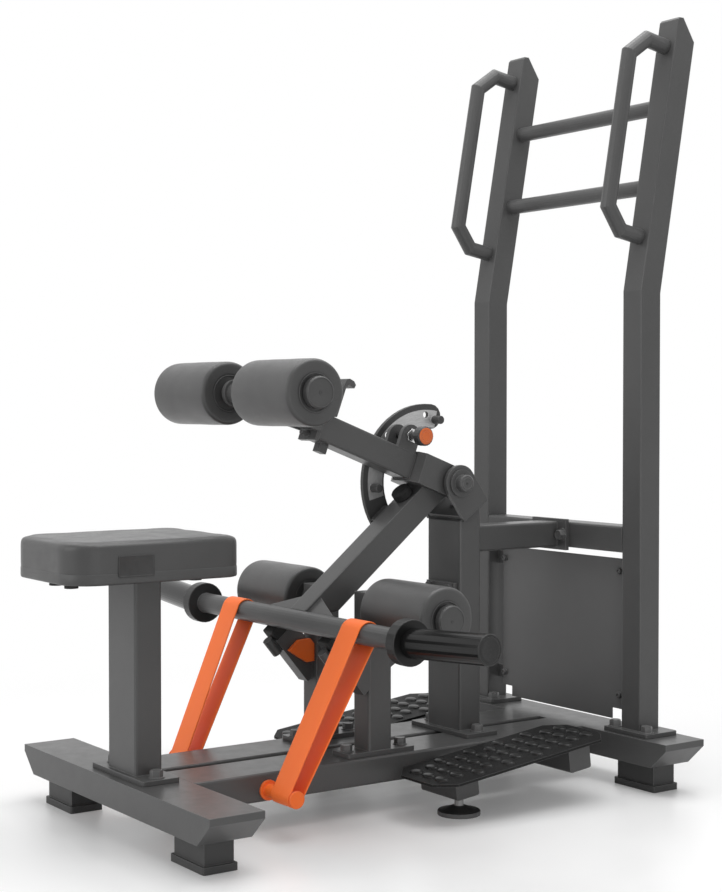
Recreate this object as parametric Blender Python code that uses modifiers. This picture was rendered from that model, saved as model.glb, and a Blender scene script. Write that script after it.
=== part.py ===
"""A standing hip thrust machine: a low base with a seat, a weight lever with hip rollers, knee rollers,
two tread plates and two tall uprights with handles. Metres, +Z up, +X to the right, the seat at -Y."""

import math

import bmesh
import bpy
from mathutils import Matrix, Vector

# Clearances
GAP = 0.0003  # between faces that touch
RUNNING = 0.0004  # round a turning shaft, on the radius
BITE = 0.002  # how far a welded piece reaches into the piece it is welded to

# Steel sections
TUBE = 0.050
TUBE_EDGE = 0.004
PLATE = 0.008
BOLT_RADIUS = 0.0085
BOLT_HEAD = 0.007
SOFT_EDGE = 0.002
FINE_EDGE = 0.001

# Base
FOOT_HEIGHT = 0.0515
BASE_DEPTH = 0.0485
CROSS_LENGTH = 0.680
CROSS_WIDTH = 0.098
CROSS_UNDERCUT = 0.039
CROSS_END = 0.012  # the upright part of its ends, above the undercut
FRONT_CROSS_Y = -0.476
REAR_CROSS_Y = 0.477
RAIL_WIDTH = 0.109
RAIL_SLOT = 0.018
FOOT_X = 0.236
REAR_FOOT_SHIFT = 0.0025
FOOT_BLOCK = (0.095, 0.053)
FOOT_PLATE = (0.108, 0.062)
FOOT_PLATE_THICK = 0.012

# Seat
SEAT_POST_Y = -0.4745
SEAT_POST_WIDTH = 0.100
SEAT_FLANGE = (0.190, 0.068)
SEAT_BOLT_X = 0.076
SEAT_Y = -0.489
SEAT_WIDTH = 0.244
SEAT_DEPTH = 0.311
SEAT_TOP = 0.503
SEAT_FRONT_CORNER = 0.055
SEAT_REAR_CORNER = 0.032
SEAT_LEAST_CORNER = 0.008
CUSHION_THICK = 0.060
BOARD_INSET = 0.004
STUD_RADIUS = 0.0115
STUD_LENGTH = 0.011
STUD_AT = (0.029, 0.114)

# Column, pivot and brace
PIVOT_Y = 0.175
PIVOT_Z = 0.574
PIVOT_RISE = 0.062  # from the sloped top of the column to the pivot
BRACKET_LEAN = math.radians(35.0)
BRACKET_WIDTH = 0.068
BRACKET_DROP = 0.0025  # how far the cheeks reach below the column's top
WEB_BOLT = 0.005
COLUMN_Y = 0.204
COLUMN_WIDTH = 0.100
COLUMN_FLANGE = (0.176, 0.074)
COLUMN_BOLT_X = 0.071
AXLE_RADIUS = 0.012
PIVOT_BOSS_RADIUS = 0.026
PIVOT_BOSS = 0.004
PIVOT_CAP_RADIUS = 0.0165
PIVOT_CAP = 0.015
PIVOT_SPACER_RADIUS = 0.020
BRACE_Z = 0.465
BRACE_FLANGE = (0.100, 0.061)
BRACE_BOLT_X = 0.040

# Uprights
UPRIGHT_X = 0.224
UPRIGHT_Y = 0.476
UPRIGHT_FLANGE = (0.116, 0.080)
UPRIGHT_BOLT_INSET = 0.016  # from two edges of the flange
UPRIGHT_TOP_Z = 1.4515
LEANING_HEIGHT = 0.5175
LEAN = math.atan(0.18)
TOP_FLAT = 0.015
TOP_SLANT = 0.043
TOP_CORNER = ((0.003, 0.0), (-0.0008, -0.004))  # the softened front corner of the top
CROSSBAR_RADIUS = 0.015
CROSSBAR_UP = (0.207, 0.363)
HANDLE_RADIUS = 0.0148
HANDLE_ENDS = (0.103, 0.471)
HANDLE_REACH = 0.088
HANDLE_CORNER = (0.038, 0.038)

# Rear panel
PANEL_WIDTH = 0.356
PANEL_Z = (0.116, 0.426)
PANEL_THICK = 0.003
PANEL_Y = 0.474
PANEL_NOTCH = (0.029, 0.021)
PANEL_BOLT_RADIUS = 0.006
PANEL_BOLT_INSET = 0.007
PANEL_BOLT_Z = (0.164, 0.402)
TAB_HEIGHT = 0.026
TAB_THICK = 0.004
TAB_COVER = 0.022  # how far a tab reaches behind the panel

# Knee posts
KNEE_X = 0.083
KNEE_POST = (0.048, 0.050)
KNEE_POST_Y = -0.0445
KNEE_POST_TOP = 0.388
KNEE_FLANGE_Y = (-0.115, 0.030)
KNEE_FLANGE_WIDTH = 0.054
KNEE_BOLT_INSET = 0.014
KNEE_ROLLER_Z = 0.359
KNEE_BEAM_Z = 0.230
KNEE_BRACE_SLOPE = math.radians(30.0)
KNEE_BRACE_HALF = 0.025
KNEE_PLATE = (0.084, 0.084)
KNEE_PLATE_BOLT = (0.030, 0.032)
REST_ARM_ANGLE = math.radians(50.0)
REST_ARM = (0.031, 0.050)
REST_ARM_FOOT = 0.105
REST_PAD = 0.020
REST_STEP = 0.0005  # how far the rest arm's side lies inside the post's side
# The orange plate's outline in the rest arm's frame, from the bar's centre
CORNER_PLATE = ((-0.0206, -0.068), (0.0074, -0.068), (0.0274, -0.083), (0.0274, -0.118),
                (0.0154, -0.127), (-0.0066, -0.111))
BARREL_RADIUS = 0.0095
BARREL = (0.026, 0.008)

# Rollers
ROLLER_RADIUS = 0.0565
ROLLER_EDGE = 0.009
CAP_RADIUS = 0.027
CAP_THICK = 0.014
KNEE_ROLLER_X = (0.120, 0.300)
KNEE_SHOULDER_RADIUS = 0.021
PAD_ROLLER_X = (0.047, 0.230)

# Weight arm, measured from the pivot along the arm
ARM_ANGLE = math.radians(39.35)
ARM_RISE = 0.01165
ARM_BACK = 0.005
ARM_FOOT_Z = 0.3475
ARM_BOSS_RADIUS = 0.025
BAR_Y = -0.1527
BAR_Z = 0.3353
BAR_RADIUS = 0.019
BAR_HALF = 0.325
COLLAR_RADIUS = 0.0385
COLLAR = 0.023
SLEEVE_RADIUS = 0.025
SLEEVE_END = (0.527, -0.137, 0.3446)
SLEEVE_CHAMFER = 0.004
WING_HALF = 0.100
WING_TALL = 0.036
WING_DEPTH = 0.0095  # from the arm's upper face to the middle of the wing
WING_TUCK = 0.010  # how far the wing reaches past the bar's edge
WING_RIM = 0.001

# Index quadrant, round the pivot
QUADRANT_X = -0.050
QUADRANT_INNER = 0.100
QUADRANT_OUTER = 0.148
QUADRANT_FROM = math.radians(-45.0)
QUADRANT_TO = math.radians(95.0)
INDEX_RADIUS = 0.127
INDEX_ANGLE = math.radians(44.5)
INDEX_STEP = math.radians(45.0)
INDEX_HOLES = 2
PLUNGER_RADIUS = 0.006
STOP_PIN_RADIUS = 0.008
STOP_PIN = 0.022
STOP_PIN_PLACES = ((0.125, math.radians(-4.5)), (0.119, math.radians(99.5)))  # radius and angle
SPACER_FROM = 0.104
SPACER_TO = 0.144
STOP_DISC_RADIUS = 0.019
STOP_DISC_AT = 0.084

# Pad arm, measured from the pivot along the beam
PAD_ANGLE = math.radians(20.7)
BEAM_WIDTH = 0.048
BEAM_BACK = 0.062
BEAM_LENGTH = 0.308
HUB_HALF_WIDTH = 0.044
HUB_HALF_HEIGHT = 0.029
HUB_FRONT = 0.092
HUB_CHAMFER = 0.009
LUG_THICK = 0.008
LUG_RADIUS = 0.021
NUT_RADIUS = 0.0135
NUT_LENGTH = 0.007
KNOB_X = (0.044, 0.070)
KNOB_RADIUS = 0.018
KNOB_NECK = 0.009
KNOB_TAPER = (0.005, 0.010)
LIP_AT = 0.292
LIP_HALF_WIDTH = 0.038
LIP_HEIGHT = 0.068
LIP_CURL = 0.018
LIP_THICK = 0.006
# The lip's curled top, from its face and its top
LIP_TOP = ((0.0, -0.013), (0.004, -0.007), (LIP_CURL - 0.001, -0.009), (LIP_CURL, -0.002), (0.012, 0.003),
           (0.002, 0.004), (-0.004, 0.001), (-LIP_THICK, -0.010))
END_PLATE = (0.058, 0.056)
BLOCK_AT = 0.282
BLOCK = (0.018, 0.018, 0.017)
STUB_RADIUS = 0.005
STUB_LENGTH = 0.016
STUB_DROP = 0.019
PAD_AXLE_AT = 0.467
PAD_AXLE_RISE = 0.002
CLEVIS_X = 0.030
CLEVIS_END = 0.024
PAD_COLLAR_RADIUS = 0.018

# Tread plates, outriggers and levelling feet
TREAD_SLOPE = math.atan(0.12)
TREAD_Y = 0.055
TREAD_Z = 0.085
TREAD_THICK = 0.005
TREAD_X = (0.130, 0.290)
TREAD_FROM = -0.042
TREAD_TO = 0.347
TREAD_CORNER = (0.035, 0.030)
LENS = (0.015, 0.0095)
LENS_HEIGHT = 0.0035
LENS_TOP = 0.72  # the share of a lens that its flat top takes
LENS_PITCH = (0.036, 0.0335)
LENS_MARGIN = 0.012
OUTRIGGER_Y = (0.057, 0.287)
OUTRIGGER_REACH = (0.222, 0.262)
LEVEL_X = 0.206
LEVEL_Y = 0.055
LEVEL_RADIUS = 0.038
LEVEL_SPINDLE = 0.008
LEVEL_TOP = 0.046
LEVEL_TRAVEL = 0.012
# The foot under the spindle, from the spindle out to the rim: radius and height
LEVEL_CONE = ((LEVEL_SPINDLE, 0.016), (0.013, 0.0155), (0.030, 0.009), (LEVEL_RADIUS - 0.001, 0.008),
              (LEVEL_RADIUS, 0.007), (LEVEL_RADIUS, 0.0))

# Band pegs and bands
PEG_Y = -0.285
PEG_Z = 0.071
PEG_RADIUS = 0.0115
PEG_FLANGE = (0.0175, 0.004)
PEG_CAP = (0.015, 0.004)
PEG_END = 0.2095
BAND_WIDTH = 0.054
BAND_THICK = 0.003
BAND_X_BAR = 0.1975
BAND_X_PEG = 0.1765

# Derived places
BASE_TOP = FOOT_HEIGHT + BASE_DEPTH
RAIL_OUT = RAIL_SLOT / 2 + RAIL_WIDTH
SEAT_FRONT = SEAT_Y - SEAT_DEPTH / 2
BOARD_TOP = SEAT_TOP - CUSHION_THICK
BOARD_BOTTOM = BOARD_TOP - PLATE
KINK_Z = UPRIGHT_TOP_Z - LEANING_HEIGHT
UPRIGHT_FRONT = UPRIGHT_Y - TUBE / 2
UPRIGHT_BACK = UPRIGHT_Y + TUBE / 2
TOP_FRONT = UPRIGHT_FRONT + math.tan(LEAN) * LEANING_HEIGHT
BACK_SHIFT = TUBE / math.cos(LEAN)
REAR_REACH = TOP_FRONT + BACK_SHIFT - math.tan(LEAN) * TOP_SLANT
ARM_TOP = ARM_RISE + TUBE / 2
CHEEK_IN = COLUMN_WIDTH / 2 + GAP
CHEEK_OUT = CHEEK_IN + PLATE
BAR_FROM_PIVOT = math.hypot(PIVOT_Y - BAR_Y, PIVOT_Z - BAR_Z)

# Turns the plane of an outline: its first axis becomes Y or X, its second Z, its thickness the third
SIDE_ON = Matrix(((0, 0, 1, 0), (1, 0, 0, 0), (0, 1, 0, 0), (0, 0, 0, 1)))
FACE_ON = Matrix(((1, 0, 0, 0), (0, 0, -1, 0), (0, 1, 0, 0), (0, 0, 0, 1)))
FLAT = Matrix.Identity(4)

for old in list(bpy.data.objects):
    bpy.data.objects.remove(old)

machine = bpy.data.collections.new("standing_hip_thrust_machine")
workshop = bpy.data.collections.new("cutters_and_welds")
bpy.context.scene.collection.children.link(machine)
bpy.context.scene.collection.children.link(workshop)


def paint(name, colour, roughness, metallic=0.0):
    """A material with a plain base colour."""
    material = bpy.data.materials.new(name)
    material.use_nodes = True
    shader = material.node_tree.nodes["Principled BSDF"]
    shader.inputs["Base Color"].default_value = (*colour, 1.0)
    shader.inputs["Roughness"].default_value = roughness
    shader.inputs["Metallic"].default_value = metallic
    return material


FRAME = paint("frame_paint", (0.085, 0.085, 0.088), 0.42)
DARK = paint("dark_paint", (0.03, 0.03, 0.032), 0.45)
SKIN = paint("pad_skin", (0.075, 0.076, 0.08), 0.5)
RUBBER = paint("black_rubber", (0.012, 0.012, 0.012), 0.8)
GLOSS = paint("gloss_black", (0.012, 0.012, 0.014), 0.18)
TREAD = paint("tread_black", (0.014, 0.014, 0.015), 0.55)
ORANGE = paint("orange_paint", (0.8, 0.2, 0.02), 0.45)
BAND = paint("orange_band", (0.9, 0.16, 0.03), 0.6)
CHROME = paint("chrome", (0.7, 0.7, 0.7), 0.12, 1.0)
PLASTIC = paint("black_plastic", (0.03, 0.03, 0.03), 0.4)


def empty(name, at, lean=0.0, parent=None):
    """A frame that pieces hang on: a place and a turn about X."""
    frame = bpy.data.objects.new(name, None)
    machine.objects.link(frame)
    frame.parent = parent
    frame.location = at
    frame.rotation_euler.x = lean
    return frame


def add(name, bm, material, parent, at=(0.0, 0.0, 0.0), helper=False):
    """An object from a finished bmesh; a helper only shapes other objects."""
    bmesh.ops.recalc_face_normals(bm, faces=bm.faces)
    if bm.calc_volume(signed=True) < 0.0:
        bmesh.ops.reverse_faces(bm, faces=bm.faces)
    mesh = bpy.data.meshes.new(name)
    bm.to_mesh(mesh)
    bm.free()
    obj = bpy.data.objects.new(name, mesh)
    (workshop if helper else machine).objects.link(obj)
    obj.parent = parent
    obj.location = at
    if helper:
        obj.hide_render = True
        obj.display_type = "WIRE"
    else:
        mesh.materials.append(material)
        mesh.shade_smooth()
        mesh.set_sharp_from_angle(angle=math.radians(35))
    return obj


def join(body, pieces, operation="UNION"):
    """Welds pieces on to a body, or cuts them out of it."""
    for piece in pieces:
        modifier = body.modifiers.new(piece.name, "BOOLEAN")
        modifier.operation = operation
        modifier.solver = "EXACT"
        modifier.object = piece
    return body


def cut(body, pieces):
    return join(body, pieces, "DIFFERENCE")


def ends(span):
    """The middle and the length of a span."""
    return (span[0] + span[1]) / 2, span[1] - span[0]


def block(name, x, y, z, material=None, parent=None, edge=0.0, along=None, helper=False):
    """A box from its spans, with its edges rounded, all of them or those along one axis."""
    (cx, sx), (cy, sy), (cz, sz) = ends(x), ends(y), ends(z)
    bm = bmesh.new()
    bmesh.ops.create_cube(bm, size=1.0)
    bmesh.ops.scale(bm, vec=(sx, sy, sz), verts=bm.verts)
    if edge:
        picked = [e for e in bm.edges if along is None or runs_along(e, along)]
        bmesh.ops.bevel(bm, geom=picked, offset=edge, segments=2, profile=0.5, affect="EDGES")
    return add(name, bm, material, parent or base, (cx, cy, cz), helper)


def runs_along(edge, axis):
    direction = (edge.verts[1].co - edge.verts[0].co).normalized()
    return abs(direction["xyz".index(axis)]) > 0.99


def rod(name, radius, span, axis, at, material=None, parent=None, sides=20, chamfer=0.0, helper=False):
    """A round bar along an axis. The other two coordinates come from at, in X, Y, Z order."""
    middle, length = ends(span)
    bm = bmesh.new()
    bmesh.ops.create_cone(bm, cap_ends=True, segments=sides, radius1=radius, radius2=radius, depth=length)
    if chamfer:
        rims = [e for e in bm.edges if abs(e.verts[0].co.z - e.verts[1].co.z) < length / 2]
        bmesh.ops.bevel(bm, geom=rims, offset=chamfer, segments=1, profile=0.5, affect="EDGES")
    turn = {"x": Matrix.Rotation(math.pi / 2, 4, "Y"), "y": Matrix.Rotation(math.pi / 2, 4, "X"), "z": FLAT}
    bm.transform(turn[axis])
    place = list(at)
    place.insert("xyz".index(axis), middle)
    return add(name, bm, material, parent or base, place, helper)


def plate(name, outline, span, plane, material=None, parent=None, holes=(), helper=False):
    """A flat outline with thickness, filled as a 2D curve and made a mesh."""
    middle, thick = ends(span)
    curve = bpy.data.curves.new(name, "CURVE")
    curve.dimensions = "2D"
    curve.fill_mode = "BOTH"
    curve.extrude = thick / 2
    for ring in (outline, *holes):
        spline = curve.splines.new("POLY")
        spline.points.add(len(ring) - 1)
        for point, (first, second) in zip(spline.points, ring):
            point.co = (first, second, 0.0, 1.0)
        spline.use_cyclic_u = True
    guide = bpy.data.objects.new(name + "_outline", curve)
    workshop.objects.link(guide)
    bpy.context.view_layer.update()
    graph = bpy.context.evaluated_depsgraph_get()
    filled = bpy.data.meshes.new_from_object(guide.evaluated_get(graph))
    bpy.data.objects.remove(guide)
    bpy.data.curves.remove(curve)
    bm = bmesh.new()
    bm.from_mesh(filled)
    bpy.data.meshes.remove(filled)
    bmesh.ops.remove_doubles(bm, verts=bm.verts, dist=1e-5)
    bm.transform(plane)
    at = {id(SIDE_ON): (middle, 0, 0), id(FACE_ON): (0, middle, 0), id(FLAT): (0, 0, middle)}[id(plane)]
    return add(name, bm, material, parent or base, at, helper)


def turned(name, profile, at, material, parent, sides=28, helper=False):
    """A profile of (radius, place along X) turned round the X axis, outer side first."""
    mesh = bpy.data.meshes.new(name)
    bm = bmesh.new()
    verts = [bm.verts.new((radius, 0.0, along)) for radius, along in profile]
    for first, second in zip(verts, verts[1:]):
        bm.edges.new((first, second))
    if profile[0][0] > 1e-6:
        bm.edges.new((verts[-1], verts[0]))
    bm.to_mesh(mesh)
    bm.free()
    obj = bpy.data.objects.new(name, mesh)
    (workshop if helper else machine).objects.link(obj)
    obj.parent = parent
    obj.location = at
    screw = obj.modifiers.new("turn", "SCREW")
    screw.steps = sides
    screw.render_steps = sides
    screw.use_merge_vertices = True
    screw.merge_threshold = 1e-5
    screw.use_smooth_shade = True
    if helper:
        obj.hide_render = True
        obj.display_type = "WIRE"
    else:
        mesh.materials.append(material)
    return obj


def arc(centre, radius, start, end, steps):
    """Points on an arc, both ends included, angles from the first axis."""
    return [
        (
            centre[0] + radius * math.cos(start + (end - start) * i / steps),
            centre[1] + radius * math.sin(start + (end - start) * i / steps),
        )
        for i in range(steps + 1)
    ]


def ring_of(centre, radius, sides=16):
    return arc(centre, radius, 0.0, 2 * math.pi, sides)[:-1]


def mitred_tube(name, path, radius, material, parent, sides=20, first_face=None):
    """A round tube along straight runs that meet in mitres. Each section lies in its joint's plane."""
    points = [Vector(p) for p in path]
    runs = [(b - a).normalized() for a, b in zip(points, points[1:])]
    across = Vector((1.0, 0.0, 0.0)) if abs(runs[0].x) < 0.7 else Vector((0.0, 0.0, 1.0))
    bm = bmesh.new()
    rings = []
    for i, point in enumerate(points):
        run = runs[max(i - 1, 0)]
        joint = (run + runs[min(i, len(runs) - 1)]).normalized()
        if i == 0 and first_face:
            joint = Vector(first_face)
        side = (across - across.dot(run) * run).normalized()
        up = run.cross(side)
        ring = []
        for k in range(sides):
            turn = 2 * math.pi * k / sides
            spoke = radius * (math.cos(turn) * side + math.sin(turn) * up)
            ring.append(bm.verts.new(point + spoke - run * (spoke.dot(joint) / run.dot(joint))))
        rings.append(ring)
    for low, high in zip(rings, rings[1:]):
        for k in range(sides):
            nxt = (k + 1) % sides
            bm.faces.new((low[k], low[nxt], high[nxt], high[k]))
    bm.faces.new(rings[0][::-1])
    bm.faces.new(rings[-1])
    return add(name, bm, material, parent)


def bolt_heads(name, places, z, parent=None):
    """Round bolt heads that stand on a flange whose top is z."""
    return [
        rod(f"{name}_{i}", BOLT_RADIUS, (z - BITE, z + BOLT_HEAD), "z", place, parent=parent, sides=10, helper=True)
        for i, place in enumerate(places)
    ]


base = empty("machine", (0.0, -(SEAT_FRONT + REAR_REACH) / 2, 0.0))


# Base frame

def cross_foot(name, y):
    half = CROSS_LENGTH / 2
    low = half - CROSS_UNDERCUT
    outline = [(-low, FOOT_HEIGHT), (low, FOOT_HEIGHT), (half, BASE_TOP - CROSS_END), (half, BASE_TOP),
               (-half, BASE_TOP), (-half, BASE_TOP - CROSS_END)]
    return plate(name, outline, (y - CROSS_WIDTH / 2, y + CROSS_WIDTH / 2), FACE_ON, FRAME)


def foot_block(name, x, y):
    body = block(name, (x - FOOT_BLOCK[0] / 2, x + FOOT_BLOCK[0] / 2),
                 (y - FOOT_BLOCK[1] / 2, y + FOOT_BLOCK[1] / 2),
                 (FOOT_PLATE_THICK - BITE, FOOT_HEIGHT - GAP), DARK)
    sole = block(name + "_sole", (x - FOOT_PLATE[0] / 2, x + FOOT_PLATE[0] / 2),
                 (y - FOOT_PLATE[1] / 2, y + FOOT_PLATE[1] / 2), (0.0, FOOT_PLATE_THICK),
                 edge=TUBE_EDGE, along="z", helper=True)
    return join(body, [sole])


cross_foot("front_cross_foot", FRONT_CROSS_Y)
cross_foot("rear_cross_foot", REAR_CROSS_Y)
for side, sign in (("right", 1), ("left", -1)):
    rail_y = (FRONT_CROSS_Y + CROSS_WIDTH / 2 + GAP, REAR_CROSS_Y - CROSS_WIDTH / 2 - GAP)
    rail_x = sorted((sign * RAIL_SLOT / 2, sign * RAIL_OUT))
    block(f"rail_{side}", rail_x, rail_y, (FOOT_HEIGHT, BASE_TOP), FRAME, edge=TUBE_EDGE, along="y")
    foot_block(f"front_foot_{side}", sign * FOOT_X, FRONT_CROSS_Y)
    foot_block(f"rear_foot_{side}", sign * FOOT_X, REAR_CROSS_Y + REAR_FOOT_SHIFT)


# Seat

def seat_outline(inset, steps=6):
    """The seat's plan with an inset: a rectangle with wide corners in front and narrower ones behind."""
    half_x, half_y = SEAT_WIDTH / 2 - inset, SEAT_DEPTH / 2 - inset
    corners = ((1, 1, 0.0), (-1, 1, 0.5), (-1, -1, 1.0), (1, -1, 1.5))
    points = []
    for sx, sy, quarter in corners:
        radius = max((SEAT_REAR_CORNER if sy > 0 else SEAT_FRONT_CORNER) - inset, SEAT_LEAST_CORNER)
        centre = (sx * (half_x - radius), sy * (half_y - radius))
        points += arc(centre, radius, quarter * math.pi, (quarter + 0.5) * math.pi, steps)
    return points


def cushion(name, levels, z, material):
    """A cushion from stacked rounded sections: each level is an inset and a height."""
    bm = bmesh.new()
    rings = [[bm.verts.new((x, y, height)) for x, y in seat_outline(inset)] for inset, height in levels]
    count = len(rings[0])
    for low, high in zip(rings, rings[1:]):
        for i in range(count):
            nxt = (i + 1) % count
            bm.faces.new((low[i], low[nxt], high[nxt], high[i]))
    bm.faces.new(rings[0][::-1])
    bm.faces.new(rings[-1])
    return add(name, bm, material, base, (0.0, SEAT_Y, z))


def flange(name, half_x, y, z, x=0.0):
    return block(name, (x - half_x, x + half_x), y, (z, z + PLATE), edge=TUBE_EDGE, along="z", helper=True)


FLANGE_Z = BASE_TOP + GAP
FLANGE_TOP = FLANGE_Z + PLATE
seat_post = block("seat_post", (-SEAT_POST_WIDTH / 2, SEAT_POST_WIDTH / 2),
                  (SEAT_POST_Y - TUBE / 2, SEAT_POST_Y + TUBE / 2),
                  (FLANGE_Z + BITE, BOARD_BOTTOM - GAP), FRAME, edge=TUBE_EDGE, along="z")
join(seat_post, [flange("seat_post_flange", SEAT_FLANGE[0] / 2,
                        (SEAT_POST_Y - SEAT_FLANGE[1] / 2, SEAT_POST_Y + SEAT_FLANGE[1] / 2), FLANGE_Z)])
join(seat_post, bolt_heads("seat_post_bolt", [(s * SEAT_BOLT_X, SEAT_POST_Y) for s in (1, -1)], FLANGE_TOP))
board_outline = [(x, y + SEAT_Y) for x, y in seat_outline(BOARD_INSET)]
seat_board = plate("seat_board", board_outline, (BOARD_BOTTOM, BOARD_TOP), FLAT, DARK)
join(seat_board, [
    rod(f"seat_stud_{sx}_{sy}", STUD_RADIUS, (BOARD_BOTTOM - STUD_LENGTH, BOARD_BOTTOM + BITE), "z",
        (sx * STUD_AT[0], SEAT_Y + sy * STUD_AT[1]), sides=12, helper=True)
    for sx in (1, -1) for sy in (1, -1)])
CUSHION_LEVELS = [(0.005, GAP), (0.0015, 0.004), (0.0, 0.012), (0.0, CUSHION_THICK - 0.018),
                  (0.002, CUSHION_THICK - 0.010), (0.007, CUSHION_THICK - 0.0045), (0.016, CUSHION_THICK - 0.0018),
                  (0.050, CUSHION_THICK)]
cushion("seat_cushion", CUSHION_LEVELS, BOARD_TOP, SKIN)


# Column with the pivot bracket

def slope_z(y, rise=PIVOT_RISE):
    """Height at y of a line that leans like the bracket, at a distance under the pivot."""
    return PIVOT_Z - rise / math.cos(BRACKET_LEAN) + (y - PIVOT_Y) * math.tan(BRACKET_LEAN)


column_y = (COLUMN_Y - TUBE / 2, COLUMN_Y + TUBE / 2)
column = block("column", (-COLUMN_WIDTH / 2, COLUMN_WIDTH / 2), column_y,
               (FLANGE_Z + BITE, slope_z(column_y[1]) + TUBE), FRAME, edge=TUBE_EDGE, along="z")
above_slope = [(y, slope_z(y) + extra) for y, extra in (
    (column_y[0] - TUBE, 0.0), (column_y[1] + TUBE, 0.0), (column_y[1] + TUBE, 3 * TUBE),
    (column_y[0] - TUBE, 4 * TUBE))]
cut(column, [plate("column_slope", above_slope, (-COLUMN_WIDTH, COLUMN_WIDTH), SIDE_ON, helper=True)])
join(column, [flange("column_flange", COLUMN_FLANGE[0] / 2,
                     (COLUMN_Y - COLUMN_FLANGE[1] / 2, COLUMN_Y + COLUMN_FLANGE[1] / 2), FLANGE_Z)])
join(column, bolt_heads("column_bolt", [(s * COLUMN_BOLT_X, COLUMN_Y) for s in (1, -1)], FLANGE_TOP))

# The bracket stands in a frame whose Y runs up the slope and whose origin is the pivot
bracket_frame = empty("bracket_frame", (0.0, PIVOT_Y, PIVOT_Z), BRACKET_LEAN, base)
cheek_bottom = -(PIVOT_RISE + BRACKET_DROP)
cheek = [(-BRACKET_WIDTH / 2, cheek_bottom), (BRACKET_WIDTH / 2, cheek_bottom)]
cheek += arc((0.0, 0.0), BRACKET_WIDTH / 2, 0.0, math.pi, 14)
web_bottom = GAP - PIVOT_RISE
pivot_bracket = block("pivot_bracket", (-CHEEK_IN - BITE, CHEEK_IN + BITE),
                      (-BRACKET_WIDTH / 2 + BITE, BRACKET_WIDTH / 2 - BITE),
                      (web_bottom, web_bottom + PLATE), FRAME, bracket_frame)
for sign in (1, -1):
    join(pivot_bracket, [
        plate(f"cheek_{sign}", cheek, sorted((sign * CHEEK_IN, sign * CHEEK_OUT)), SIDE_ON,
              parent=bracket_frame, helper=True),
        rod(f"cheek_spacer_{sign}", PIVOT_SPACER_RADIUS,
            sorted((sign * (HUB_HALF_WIDTH + GAP), sign * (CHEEK_IN + BITE))), "x", (0.0, 0.0),
            parent=bracket_frame, helper=True)])
join(pivot_bracket, [rod("web_bolt", BOLT_RADIUS, (web_bottom + PLATE - BITE, web_bottom + PLATE + WEB_BOLT),
                         "z", (0.0, 0.0), parent=bracket_frame, sides=12, helper=True)])
pivot_bore = rod("pivot_bore", AXLE_RADIUS + RUNNING, (-TUBE * 2, TUBE * 2), "x", (PIVOT_Y, PIVOT_Z), helper=True)
cut(pivot_bracket, [pivot_bore])

axle_end = CHEEK_OUT + GAP + PIVOT_BOSS + PIVOT_CAP
pivot_axle = rod("pivot_axle", AXLE_RADIUS, (-axle_end + PIVOT_CAP / 2, axle_end - PIVOT_CAP / 2), "x",
                 (PIVOT_Y, PIVOT_Z), FRAME)
for sign in (1, -1):
    boss = (sign * (CHEEK_OUT + GAP), sign * (CHEEK_OUT + GAP + PIVOT_BOSS))
    cap = (sign * (CHEEK_OUT + GAP + PIVOT_BOSS - BITE), sign * axle_end)
    join(pivot_axle, [
        rod(f"pivot_boss_{sign}", PIVOT_BOSS_RADIUS, sorted(boss), "x", (PIVOT_Y, PIVOT_Z), helper=True),
        rod(f"pivot_cap_{sign}", PIVOT_CAP_RADIUS, sorted(cap), "x", (PIVOT_Y, PIVOT_Z), chamfer=SOFT_EDGE,
            helper=True)])

brace_y = (column_y[1] + GAP, UPRIGHT_FRONT - GAP)
brace = block("brace", (-TUBE / 2, TUBE / 2), (brace_y[0], brace_y[1] - BITE),
              (BRACE_Z - TUBE / 2, BRACE_Z + TUBE / 2), FRAME, edge=TUBE_EDGE, along="y")
join(brace, [block("brace_flange", (-BRACE_FLANGE[0] / 2, BRACE_FLANGE[0] / 2), (brace_y[1] - PLATE, brace_y[1]),
                   (BRACE_Z - BRACE_FLANGE[1] / 2, BRACE_Z + BRACE_FLANGE[1] / 2), helper=True)])
join(brace, [rod(f"brace_bolt_{sign}", BOLT_RADIUS, (brace_y[1] - PLATE - BOLT_HEAD, brace_y[1] - PLATE + BITE),
                 "y", (sign * BRACE_BOLT_X, BRACE_Z), sides=10, helper=True)
             for sign in (1, -1)])
rear_bar_half = UPRIGHT_X - TUBE / 2 - GAP
block("rear_bar", (-rear_bar_half, rear_bar_half), (UPRIGHT_FRONT, UPRIGHT_BACK),
      (BRACE_Z - TUBE / 2, BRACE_Z + TUBE / 2), FRAME, edge=TUBE_EDGE, along="x")


# Uprights, crossbars and handles

def upright_outline(low):
    """The side of an upright: straight, then leaning back, its top flat and then slanted."""
    kink_back = KINK_Z - TUBE * math.tan(LEAN / 2)
    slant_y = TOP_FRONT + BACK_SHIFT - math.tan(LEAN) * TOP_SLANT
    corner = [(TOP_FRONT + out, UPRIGHT_TOP_Z + up) for out, up in TOP_CORNER]
    return [(UPRIGHT_FRONT, low), (UPRIGHT_BACK, low), (UPRIGHT_BACK, kink_back),
            (slant_y, UPRIGHT_TOP_Z - TOP_SLANT), (TOP_FRONT + TOP_FLAT, UPRIGHT_TOP_Z),
            *corner, (UPRIGHT_FRONT, KINK_Z)]


def soften(body, width):
    """Rounds the long edges of a plate's two faces."""
    bevel = body.modifiers.new("edges", "BEVEL")
    bevel.width = width
    bevel.segments = 2
    bevel.limit_method = "ANGLE"
    bevel.angle_limit = math.radians(60)
    return body


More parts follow.
